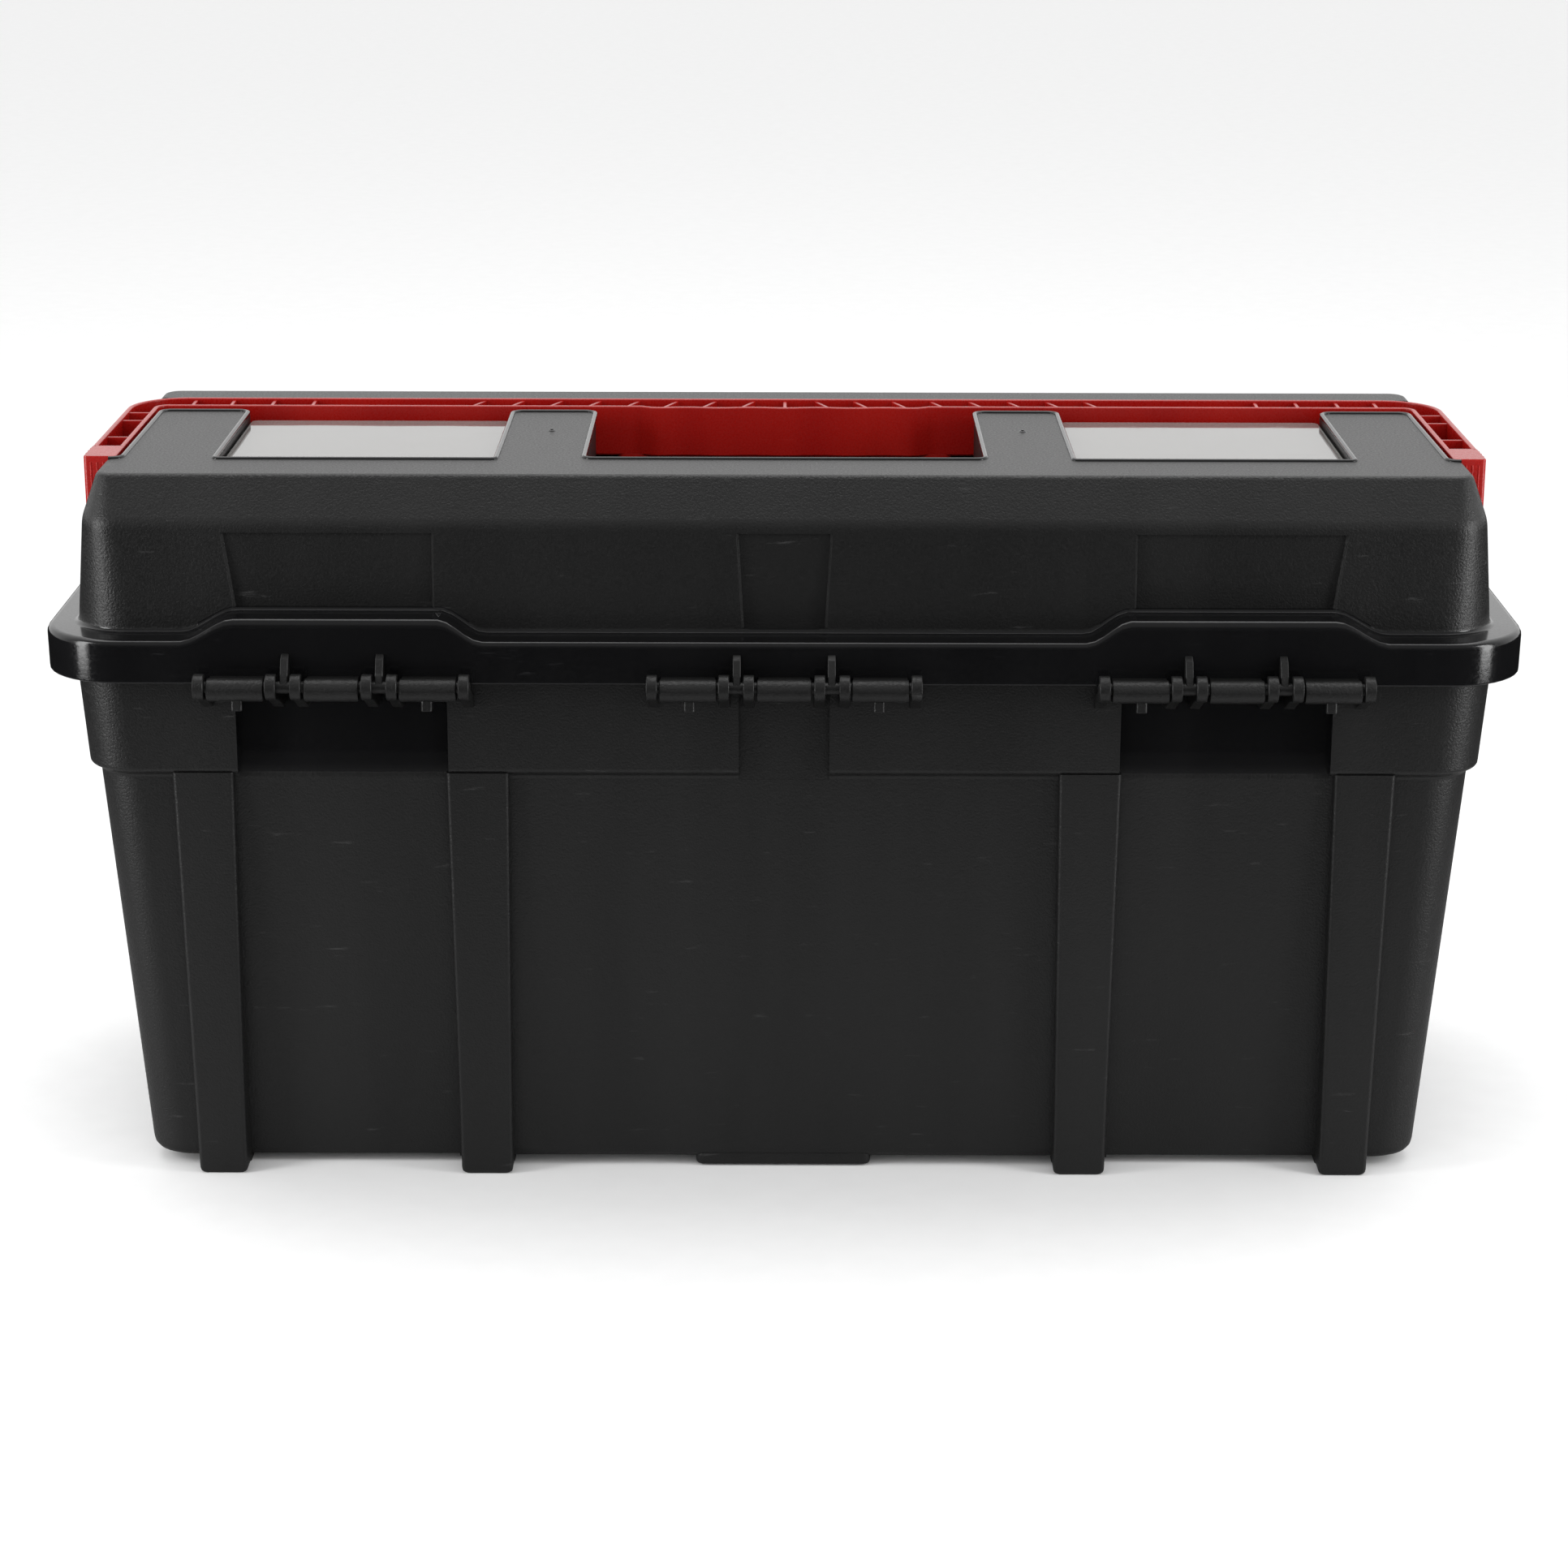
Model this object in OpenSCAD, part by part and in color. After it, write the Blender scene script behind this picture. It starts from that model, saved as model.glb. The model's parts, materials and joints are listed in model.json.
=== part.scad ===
// Moulded polypropylene toolbox: hinged lid with two lidded organizers, folding
// carry handle, two front latches and a lift-out tray. Front is -Y, hinges are +Y,
// the feet stand on z = 0.

/* [Case] */
// Width over the lid's rim
case_w = 602; // [500:2:740]
// Depth over the lid's rim, without hinges and latches
case_d = 244; // [200:2:300]
// Height of the closed box
case_h = 298; // [280:2:360]
// Height of the parting line, the lower edge of the lid's skirt
rim_z = 219; // [185:1:226]
// Wall thickness of the mouldings
wall = 3; // [2.4:0.1:3.8]
// Plan radius of the rim's corners
rim_r = 34; // [24:1:38]

/* [Base] */
// How far the base's upper band sits inside the rim at the front and rear
band_inset = 14; // [12:0.5:16]
// How far the base's upper band sits inside the rim at the sides
band_side = 10.5; // [9:0.5:13]
// Height of the upper band
band_h = 43; // [30:1:52]
// Step from the band to the lower wall at the front and rear
step_in = 4; // [3:0.5:6]
// Step from the band to the lower wall at the sides
step_side = 7.5; // [4:0.5:9]
// Draft of the lower side walls, from the step to the floor
side_draft = 14; // [4:1:16]
// Draft of the lower front and rear walls
rear_draft = 4; // [2:1:6]
// Height of the feet under the floor
foot_h = 4; // [3:0.5:8]
// Middle of each pair of vertical ribs, from the centre
rib_pair_x = 181; // [150:1:184]
// Half the gap between the two ribs of a pair
rib_gap = 44; // [38:1:50]
// Width of one rib
rib_w = 25; // [16:1:28]

/* [Lid] */
// Height of the lid's skirt
skirt_h = 16.3; // [14:0.1:20]
// How far the lid's walls sit inside the rim at the front and rear
lid_inset = 16; // [14:0.5:19]
// How far the lid's walls sit inside the rim at the sides
lid_side = 11.5; // [10:0.5:14]
// Height of the chamfer band under the top
chamfer_h = 20; // [14:1:24]
// Inset of the top's rear edge from the rim
top_rear = 27; // [22:1:30]
// Inset of the top's front edge from the rim
top_front = 34; // [30:1:42]
// Inset of the top's side edges from the rim
top_side = 26; // [24:1:30]
// Distance of the recesses from the rear of the rim
recess_rear = 63; // [52:1:70]
// Half width of the finger recess in the middle of the top
finger_half = 83; // [60:1:95]
// Depth of the finger recess
finger_depth = 32; // [26:1:36]
// Distance of each organizer's middle from the centre
organizer_x = 177; // [165:1:184]
// Width of an organizer's cover
cover_w = 113; // [95:1:118]
// Depth of the organizer's bin below the top
bin_depth = 34; // [28:1:38]
// How far the covers lie below the top
cover_drop = 5; // [4:0.5:7]

/* [Handle] */
// Depth of the grip, front to back
grip_d = 19.4; // [16:0.2:21]
// Distance of the grip's rear wall from the rear of the rim
grip_rear = 174.6; // [160:0.2:178]
// Height of the grip and the arms
handle_h = 22; // [18:0.5:24]
// Width of an arm
arm_w = 13.5; // [11:0.5:14]
// How much lower the middle of the grip reaches
grip_drop = 2.5; // [1:0.25:3]
// Length of the solid ear at the end of an arm
ear_l = 22; // [20:1:24]
// Radius of the handle's pivot stubs
stub_r = 4; // [3:0.25:5]

/* [Hinges] */
// Spacing of the three hinges
hinge_pitch = 181; // [160:1:200]
// Distance of the hinge axis behind the rim
hinge_out = 6; // [5.8:0.1:6.6]
// Radius of the hinge rod
rod_r = 2.5; // [2:0.1:2.8]
// Radius of the lid's fat tubes
tube_r = 4.7; // [4:0.1:5]
// Radius of the base's hook knuckles
hook_r = 5.3; // [4.9:0.1:5.4]

/* [Latches] */
// Distance of each latch from the centre
latch_x = 150; // [110:1:170]
// Width of a latch
latch_w = 56; // [40:1:64]
// Length of a latch below its pin
latch_l = 43; // [40:1:46]
// Radius of a latch's pin
pin_r = 2.5; // [2:0.1:2.8]

/* [Tray] */
// Depth of the tray below its rim
tray_h = 58; // [40:1:64]
// Wall thickness of the tray
tray_wall = 2.2; // [1.8:0.1:2.6]
// Height of the tray's handle above its rim
tray_grip_h = 36; // [28:1:40]

/* [Fits] */
// Radial clearance of a pin that turns in a bore
run = 0.06; // [0.03:0.01:0.09]
// Gap between parts that only sit beside each other
gap = 0.4; // [0.3:0.1:0.6]

/* [Hidden] */
$fn = 48;
side = ["left", "right"];
half_w = case_w / 2;
rear = case_d / 2;
skirt_top = rim_z + skirt_h;
// base
band_x = half_w - band_side;
band_y = rear - band_inset;
band_z = rim_z - band_h;
low_x = band_x - step_side;
low_y = band_y - step_in;
floor_z = foot_h + wall;
rim_top = skirt_top - wall - gap;
ledge_z = band_z + wall;
rib_y = band_y + 1;
panel_deep = 9;
// lid
top_in = case_h - wall;
recess_y = rear - recess_rear;
recess_front = rear - grip_rear + 9.6;
channel_front = rear - grip_rear - grip_d - 1.5;
channel_z = case_h - handle_h - 4;
notch_x = half_w - top_side - 2;
bin_in = 3.5;
bin_floor = case_h - bin_depth;
cover_z = case_h - cover_drop - 2;
cover_axis_y = recess_y - 2;
cover_axis_z = cover_z + 1.1;
cover_front = recess_front + 0.8;
bin_w = cover_w - 2 * bin_in;
bin_rear = recess_y - bin_in;
bin_front = recess_front + bin_in;
// handle
ear_back = 17;
pivot_y = recess_y - ear_back;
pivot_z = case_h - 0.5 - handle_h / 2;
arm_out = notch_x + 2.5 + arm_w;
ear_sweep = norm([ear_back, handle_h / 2 + 0.2]) + 0.8;
// hinges and latches
hinge_y = rear + hinge_out;
hinge_z = rim_z - 1;
latch_y = -rear - 6;
latch_z = skirt_top - 3.3;
latch_face = -(hinge_y + hook_r);
hook_z = latch_z - latch_l;
// tray
tray_x = low_x - wall - 2 - side_draft * tray_h / band_z;
tray_y = low_y - wall - 4 - panel_deep * tray_h / band_z;
tray_top = ledge_z + 2.6;
tray_wall_y = 22;
tray_pitch = tray_x / 2;

// ---------- shared shapes ----------

// A plan rectangle with true round corners, from y0 to y1.
module plan(hx, y0, y1, r) {
    for (x = [-hx + r, hx - r], y = [y0 + r, y1 - r]) translate([x, y]) circle(r);
    translate([-hx + r, y0]) square([2 * (hx - r), y1 - y0]);
    translate([-hx, y0 + r]) square([2 * hx, y1 - y0 - 2 * r]);
}

// A thin plan rectangle used as one layer of a hull.
module layer(hx, y0, y1, z, r) {
    for (x = [-hx + r, hx - r], y = [y0 + r, y1 - r])
        translate([x, y, z]) cylinder(h = 0.1, r = r, $fn = 32);
}

// A prism of a Y-Z outline, from x0 to x1.
module prism(x0, x1, points) {
    translate([x0, 0, 0]) rotate([90, 0, 90]) linear_extrude(x1 - x0) polygon(points);
}

// A box given by its two corners.
module box(a, b) {
    translate(a) cube(b - a);
}

// A cylinder along X from x0 to x1.
module rod(x0, x1, y, z, r) {
    translate([x0, y, z]) rotate([0, 90, 0]) cylinder(h = x1 - x0, r = r);
}

// The same thing at both ends of the box.
module both_ends() {
    children();
    mirror([1, 0, 0]) children();
}

// The same thing at the front and at the rear.
module front_and_rear() {
    children();
    mirror([0, 1, 0]) children();
}

// ---------- base ----------

module tub_outside() {
    hull() {
        layer(low_x, -low_y, low_y, band_z - 0.1, 20);
        layer(low_x - side_draft, -low_y + rear_draft, low_y - rear_draft, foot_h, 16);
    }
    translate([0, 0, band_z]) linear_extrude(rim_top - band_z) plan(band_x, -band_y, band_y, 22);
}

module tub_inside() {
    hull() {
        layer(low_x - wall, wall - low_y, low_y - wall, ledge_z + 0.5, 17);
        layer(low_x - side_draft - wall, wall - low_y + rear_draft, low_y - rear_draft - wall,
              floor_z, 13);
    }
    translate([0, 0, ledge_z]) linear_extrude(case_h) plan(band_x - wall, wall - band_y, band_y - wall, 19);
}

// Outward rim under the lid's skirt.
module tub_rim() {
    translate([0, 0, rim_top - 9])
        linear_extrude(9) difference() {
            plan(half_w - wall - 1, -rear + wall + 1, rear - wall - 1, rim_r - wall - 1);
            plan(band_x - wall, wall - band_y, band_y - wall, 19);
        }
}

// Two vertical ribs that end in feet, with the sunk panel between them.
module rib_pair() {
    for (s = [-1, 1]) translate([rib_pair_x + s * (rib_gap + rib_w / 2), 0, 0]) {
        prism(-rib_w / 2, rib_w / 2, [
            [low_y - wall, band_z + 1], [rib_y - 1, band_z + 1],
            [rib_y, 0], [rib_y - 26, 0], [rib_y - 26, foot_h + 1], [low_y - rear_draft - wall, floor_z]
        ]);
    }
}

module panel_backing() {
    prism(rib_pair_x - rib_gap - 2, rib_pair_x + rib_gap + 2, [
        [low_y, ledge_z], [low_y - wall, ledge_z], [low_y - panel_deep - wall, floor_z - 1],
        [low_y - rear_draft, floor_z - 1]
    ]);
}

module panel_cut() {
    prism(rib_pair_x - rib_gap, rib_pair_x + rib_gap, [
        [band_y + 4, band_z], [low_y, band_z], [low_y - panel_deep, foot_h - 1], [band_y + 4, foot_h - 1]
    ]);
}

// The band is sunk under each outer hinge and at the centre.
module band_window_backing(x0, x1) {
    box([x0 - 3, band_y - step_in - wall, ledge_z - wall], [x1 + 3, band_y - 1, rim_top - 9]);
}

module band_window_cut(x0, x1) {
    box([x0, band_y - step_in, band_z - 1], [x1, band_y + 6, rim_top - 13]);
}

// Hook knuckles: rings open upward at the back, on legs that grow out of the band.
module base_hooks() {
    for (c = [-hinge_pitch, 0, hinge_pitch], o = [-53, -24.2, -14.2, 14.2, 24.2, 53])
        translate([c + o, 0, 0]) difference() {
            union() {
                rod(-2.25, 2.25, hinge_y, hinge_z, hook_r);
                prism(-2.25, 2.25, [
                    [hinge_y - 1, hinge_z - hook_r + 0.2], [band_y - step_in - 1, band_z + band_h / 2],
                    [band_y - step_in - 1, rim_top - 9], [rear - wall - 1.5, rim_top - 9],
                    [rear - wall - 1.5, rim_z - 0.6], [hinge_y - 4, rim_z - 0.6]
                ]);
            }
            rod(-3, 3, hinge_y, hinge_z, rod_r + run);
            box([-3, hinge_y - rod_r * 0.86, hinge_z], [3, hinge_y + rod_r * 0.86, hinge_z + 8]);
        }
}

// The shelf that a latch hooks under.
module latch_catch() {
    prism(-latch_w / 2 + 4, latch_w / 2 - 4, [
        [-band_y + 1, rim_top - 9], [-rear - 1, rim_z - 3], [-rear - 3, hook_z + 12],
        [-rear - 3, hook_z + 1.2], [-rear - 1.8, hook_z + 1.2], [-rear - 1, hook_z + 5], [-band_y + 1, hook_z + 5]
    ]);
}

module base_tub() {
    color("#1b1c1e") difference() {
        union() {
            difference() {
                tub_outside();
                tub_inside();
            }
            difference() {
                tub_rim();
                box([-half_w, -band_y + wall, rim_z], [half_w, band_y - wall, case_h]);
            }
            front_and_rear() both_ends() {
                rib_pair();
                panel_backing();
            }
            both_ends() band_window_backing(rib_pair_x - rib_gap, rib_pair_x + rib_gap);
            band_window_backing(-18, 18);
            base_hooks();
            for (x = [-latch_x, latch_x]) translate([x, 0, 0]) latch_catch();
        }
        front_and_rear() both_ends() panel_cut();
        both_ends() difference() {
            band_window_cut(rib_pair_x - rib_gap, rib_pair_x + rib_gap);
            translate([hinge_pitch, 0, 0])
                for (o = [-24.2, -14.2, 14.2, 24.2])
                    box([o - 2.25, 0, band_z + band_h / 2 - 1], [o + 2.25, rear, rim_top]);
        }
        difference() {
            band_window_cut(-18, 18);
            for (o = [-14.2, 14.2])
                box([o - 2.25, 0, band_z + band_h / 2 - 1], [o + 2.25, rear, rim_top]);
        }
    }
}

// ---------- lid ----------

module lid_body(t) {
    hull() {
        layer(half_w - lid_side - 1 - t, -rear + lid_inset - 1 + t, rear - lid_inset + 1 - t,
              skirt_top - 3.5, 24 - t);
        layer(half_w - lid_side - 5.5 - t, -rear + lid_inset + 6 + t, rear - lid_inset - 2 - t,
              case_h - chamfer_h, 22 - t);
        layer(half_w - top_side - t, -rear + top_front + t, rear - top_rear - t, case_h - 0.1 - t, 7 - t);
    }
}

// The skirt with its flat top, raised over the two outer hinges.
module lid_skirt() {
    translate([0, 0, rim_z]) linear_extrude(skirt_h) plan(half_w, -rear, rear, rim_r);
    both_ends() translate([0, rear, 0]) rotate([90, 0, 0]) linear_extrude(lid_inset + 2)
        polygon([
            [hinge_pitch - 61, skirt_top - 1], [hinge_pitch - 43, skirt_top + 9],
            [hinge_pitch + 43, skirt_top + 9], [hinge_pitch + 61, skirt_top - 1]
        ]);
}

module lid_skirt_inside() {
    translate([0, 0, rim_z - 1]) linear_extrude(skirt_h + 1 - wall)
        plan(half_w - wall, -rear + wall, rear - wall, rim_r - wall);
    both_ends() translate([0, rear - wall, 0]) rotate([90, 0, 0]) linear_extrude(lid_inset)
        polygon([
            [hinge_pitch - 56, skirt_top - 4], [hinge_pitch - 42, skirt_top + 6],
            [hinge_pitch + 42, skirt_top + 6], [hinge_pitch + 56, skirt_top - 4]
        ]);
}

// Walls and floors that hang under the top around each recess.
module recess_bodies() {
    both_ends() {
        box([organizer_x - bin_w / 2 - 6, bin_front - 6, bin_floor - 2.5],
            [organizer_x + bin_w / 2 + 6, bin_rear + 6, case_h]);
        box([notch_x - wall, channel_front - wall, channel_z - wall], [half_w, recess_y + 4, case_h]);
        rod(notch_x - wall, half_w, pivot_y, pivot_z, ear_sweep + wall);
        rod(notch_x - 12, notch_x, pivot_y, pivot_z, stub_r + 4);
    }
    box([-finger_half - wall, recess_front - 9, case_h - finger_depth - wall],
        [finger_half + wall, recess_y + wall, case_h]);
    box([-half_w, channel_front - wall, channel_z - wall], [half_w, recess_front + wall, case_h]);
}

module recess_cuts() {
    both_ends() {
        box([organizer_x - cover_w / 2 - 1, recess_front - 1, cover_z - 0.2],
            [organizer_x + cover_w / 2 + 1, recess_y + 0.6, case_h + 1]);
        rod(organizer_x - cover_w / 2 - 1, organizer_x + cover_w / 2 + 1, cover_axis_y, cover_axis_z, 2.3);
        box([organizer_x - bin_w / 2, bin_front, bin_floor],
            [organizer_x + bin_w / 2, bin_rear, case_h]);
        box([notch_x, channel_front, channel_z], [half_w + 1, pivot_y, case_h + 1]);
        rod(notch_x, half_w + 1, pivot_y, pivot_z, ear_sweep);
        rod(notch_x - 13, notch_x + 1, pivot_y, pivot_z, stub_r + run);
        rod(organizer_x - cover_w / 2 - 3.5, organizer_x + cover_w / 2 + 3.5,
            cover_axis_y, cover_axis_z, 1.5 + run);
    }
    box([-finger_half, recess_front - 10, case_h - finger_depth], [finger_half, recess_y, case_h + 1]);
    box([-half_w - 1, channel_front, channel_z], [half_w + 1, recess_front, case_h + 1]);
}

// Guide ribs that hold the removable dividers of the two bins.
module bin_guides() {
    for (x = bin_divider_xs, s = [-1, 1], y = [bin_front - 0.1, bin_rear - 1.9])
        translate([x + s * 1.7 - 0.5, y, bin_floor - 0.1]) cube([1, 2, 20]);
}

// Rod, fat tubes, webs and gusset fins of one hinge.
module lid_hinge_rod() {
    rod(-55.5, 55.5, hinge_y, hinge_z, rod_r);
    for (span = [[-50, -27], [-11, 11], [27, 50]]) {
        rod(span[0], span[1], hinge_y, hinge_z, tube_r);
        box([span[0], rear - wall, rim_z], [span[1], hinge_y, rim_z + 3]);
    }
    for (o = [-19, 19])
        prism(o - 1, o + 1, [
            [rear - 1, rim_z], [hinge_y, rim_z - 1], [hinge_y, rim_z + 2], [rear - 1, rim_z + 13]
        ]);
    for (o = [-38, 38]) translate([o, hinge_y, hinge_z]) rotate([10, 0, 0])
        box([-5, -1.5, -9.4], [5, 1.5, -2]);
}

// Two lugs that carry one latch pin.
module latch_lugs() {
    for (s = [-1, 1]) translate([s * (latch_w / 2 + 3.4), 0, 0])
        prism(-3, 3, [
            [-rear + 1, skirt_top], [-rear + 1, rim_z + 1], [latch_y - 1, latch_z - 5],
            [latch_y - 5, latch_z - 2], [latch_y - 5, latch_z + 2], [latch_y - 2, latch_z + 5]
        ]);
}

module lid_shell() {
    color("#1d1e20") union() {
        difference() {
            union() {
                difference() {
                    union() {
                        lid_body(0);
                        lid_skirt();
                    }
                    lid_body(wall);
                    lid_skirt_inside();
                }
                intersection() {
                    lid_body(0);
                    recess_bodies();
                }
                for (x = [-hinge_pitch, 0, hinge_pitch]) translate([x, 0, 0]) lid_hinge_rod();
                for (x = [-latch_x, latch_x]) translate([x, 0, 0]) latch_lugs();
            }
            recess_cuts();
            for (x = [-latch_x, latch_x])
                rod(x - latch_w / 2 - 7, x + latch_w / 2 + 7, latch_y, latch_z, pin_r);
        }
        bin_guides();
    }
}

// ---------- handle ----------

// Plan outline of the folded handle, set in by t.
module handle_plan(t) {
    difference() {
        plan(arm_out - t, rear - grip_rear - grip_d + t, recess_y - 0.2 + 30, 14 - t);
        plan(arm_out - arm_w + t, rear - grip_rear - t, recess_y + 60, 3 + t);
        translate([-half_w, recess_y]) square([case_w, 60]);
    }
}

module carry_handle() {
    z0 = case_h - 0.3 - handle_h;
    g0 = rear - grip_rear;
    color("#bd2016") union() {
        difference() {
            translate([0, 0, z0]) linear_extrude(handle_h) handle_plan(0);
            difference() {
                translate([0, 0, z0 + 2.5]) linear_extrude(handle_h) handle_plan(2.4);
                both_ends() box([notch_x, recess_y - ear_l, 0], [half_w, recess_y + 1, case_h]);
            }
            both_ends() box([notch_x, recess_y - 0.2, 0], [half_w, recess_y + 60, case_h]);
        }
        // cross ribs of the grip: straight near the ends, slanted in the middle
        both_ends() {
            for (x = [209, 227, 245, 262] * case_w / 602)
                box([x, g0 - grip_d + 1, z0 + 1], [x + 2, g0 - 1, z0 + handle_h - 1]);
            for (i = [0:7])
                translate([20 + i * 17.1, g0 - 1.5, z0 + 1]) rotate([0, 0, 22])
                    box([0, -grip_d * 1.02, 0], [2, 0, handle_h - 2]);
            for (y = [pivot_y - 28, pivot_y - 62, channel_front + 34])
                box([arm_out - arm_w + 1, y, z0 + 1], [arm_out - 1, y + 2, z0 + handle_h - 1]);
            box([arm_out - arm_w / 2 - 1, g0 - 2, z0 + 1], [arm_out - arm_w / 2 + 1, pivot_y, z0 + 11]);
            rod(notch_x - 10.5, notch_x + 3.5, pivot_y, pivot_z, stub_r);
        }
        box([-1, g0 - grip_d + 1, z0 + 1], [1, g0 - 1, z0 + handle_h - 1]);
        box([-finger_half + 2, g0 - grip_d, z0 - grip_drop], [finger_half - 2, g0, z0 + 1]);
    }
}

// ---------- latches ----------

module latch() {
    color("#bd2016") difference() {
        union() {
            rod(-latch_w / 2, latch_w / 2, latch_y, latch_z, 5);
            prism(-latch_w / 2, latch_w / 2, [
                [latch_y - 0.5, latch_z + 4.9], [latch_face + 1.6, latch_z + 3.2], [latch_face, latch_z],
                [latch_face, hook_z - 2], [latch_face + 2, hook_z - 6], [latch_face + 5, hook_z - 6],
                [latch_face + 3.6, hook_z + 4], [latch_face + 3.6, latch_z - 4]
            ]);
            prism(-latch_w / 2, latch_w / 2, [
                [latch_face + 3, hook_z - 3], [-rear + 0.5, hook_z - 3], [-rear + 0.5, hook_z + 3.8],
                [-rear - 0.6, hook_z + 3.2], [-rear - 1.2, hook_z], [latch_face + 3, hook_z]
            ]);
        }
        rod(-latch_w, latch_w, latch_y, latch_z, pin_r + run);
    }
}

module latch_pin() {
    color("silver") rod(-latch_w / 2 - 6.4, latch_w / 2 + 6.4, latch_y, latch_z, pin_r);
}

module latch_left() { translate([-latch_x, 0, 0]) latch(); }
module latch_right() { translate([latch_x, 0, 0]) latch(); }
module latch_pin_left() { translate([-latch_x, 0, 0]) latch_pin(); }
module latch_pin_right() { translate([latch_x, 0, 0]) latch_pin(); }

// ---------- organizers ----------

module organizer_cover() {
    color([0.8, 0.82, 0.84, 0.45]) union() {
        difference() {
            box([-cover_w / 2, cover_front, cover_z], [cover_w / 2, cover_axis_y, cover_z + 2]);
            box([-cover_w / 2 - 1, cover_axis_y - 3.6, cover_z - 1],
                [-cover_w / 2 + 2, recess_y, cover_z + 3]);
        }
        rod(-cover_w / 2, cover_w / 2, cover_axis_y, cover_axis_z, 1.9);
        rod(-cover_w / 2 - 3, cover_w / 2 + 3, cover_axis_y, cover_axis_z, 1.5);
        box([-11, cover_front, cover_z + 1], [11, cover_front + 2, cover_z + 4]);
    }
}

module organizer_cover_left() { translate([-organizer_x, 0, 0]) organizer_cover(); }
module organizer_cover_right() { translate([organizer_x, 0, 0]) organizer_cover(); }

bin_divider_xs = [for (s = [-1, 1], i = [-1, 1]) s * organizer_x + i * bin_w / 6];

module bin_divider(i) {
    color("#2a2b2d") translate([bin_divider_xs[i] - 0.8, 0, 0])
        box([0, bin_front + gap, bin_floor + 0.1], [1.6, bin_rear - gap, cover_z - 1.5]);
}

module bin_divider_1() { bin_divider(0); }
module bin_divider_2() { bin_divider(1); }
module bin_divider_3() { bin_divider(2); }
module bin_divider_4() { bin_divider(3); }

// ---------- tray ----------

module lift_out_tray() {
    z0 = tray_top - tray_h;
    color("#2b2c2e") union() {
        difference() {
            translate([0, 0, z0]) linear_extrude(tray_h) plan(tray_x, -tray_y, tray_y, 14);
            translate([0, 0, z0 + tray_wall]) linear_extrude(tray_h)
                plan(tray_x - tray_wall, tray_wall - tray_y, tray_y - tray_wall, 12);
        }
        // rim that hangs on the ledges at the two ends of the tub
        translate([0, 0, tray_top - 2.5]) linear_extrude(2.5) difference() {
            plan(band_x - wall - 2, -tray_y, tray_y, 8);
            plan(tray_x - tray_wall, tray_wall - tray_y, tray_y - tray_wall, 12);
        }
        box([-tray_x + 1, tray_wall_y - 1.1, z0 + 1], [tray_x - 1, tray_wall_y + 1.1, tray_top]);
        for (x = [-70, 70])
            box([x - 1, -tray_y + 1, z0 + 1], [x + 1, tray_wall_y, tray_top - 14]);
        for (x = [-tray_pitch, 0, tray_pitch], s = [-1, 1], y = [tray_wall_y + 1, tray_y - tray_wall - 1.8])
            box([x + s * 1.8 - 0.5, y, z0 + 1], [x + s * 1.8 + 0.5, y + 1.9, tray_top - 6]);
    }
}

// Grip that clips over the tray's long wall.
module tray_handle() {
    color("#bd2016") difference() {
        box([-72, tray_wall_y - 8, tray_top - 16], [72, tray_wall_y + 8, tray_top + tray_grip_h]);
        box([-58, tray_wall_y - 9, tray_top - 17], [58, tray_wall_y + 9, tray_top + tray_grip_h - 12]);
        box([-73, tray_wall_y - 1.4, tray_top - 17], [73, tray_wall_y + 1.4, tray_top + gap]);
        for (x = [-70, 70]) box([x - 1.4, -tray_y, tray_top - 17], [x + 1.4, tray_wall_y, tray_top - 13.6]);
    }
}

module tray_divider(x) {
    z0 = tray_top - tray_h;
    color("#3a3b3d")
        box([x - 0.9, tray_wall_y + 1.1 + gap, z0 + tray_wall + 0.1],
            [x + 0.9, tray_y - tray_wall - gap, tray_top - 8]);
}

module tray_divider_1() { tray_divider(-tray_pitch); }
module tray_divider_2() { tray_divider(0); }
module tray_divider_3() { tray_divider(tray_pitch); }

// ---------- what is drawn ----------

base_tub();
lid_shell();
carry_handle();
latch_left();
latch_right();
latch_pin_left();
latch_pin_right();
organizer_cover_left();
organizer_cover_right();
bin_divider_1();
bin_divider_2();
bin_divider_3();
bin_divider_4();
lift_out_tray();
tray_handle();
tray_divider_1();
tray_divider_2();
tray_divider_3();
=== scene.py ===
"""Moulded toolbox: a hinged lid with two lidded bins, a folding handle, latches and a lift-out tray.

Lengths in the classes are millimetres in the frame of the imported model: +X right, +Y towards the
hinges, +Z up, with the feet on z = 0. Meshes turn to metres only when a piece is finished.
"""

import json
import logging
import math
from collections.abc import Callable
from dataclasses import dataclass, replace
from enum import Enum

import bmesh
import bpy
from mathutils import Matrix, Vector


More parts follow.
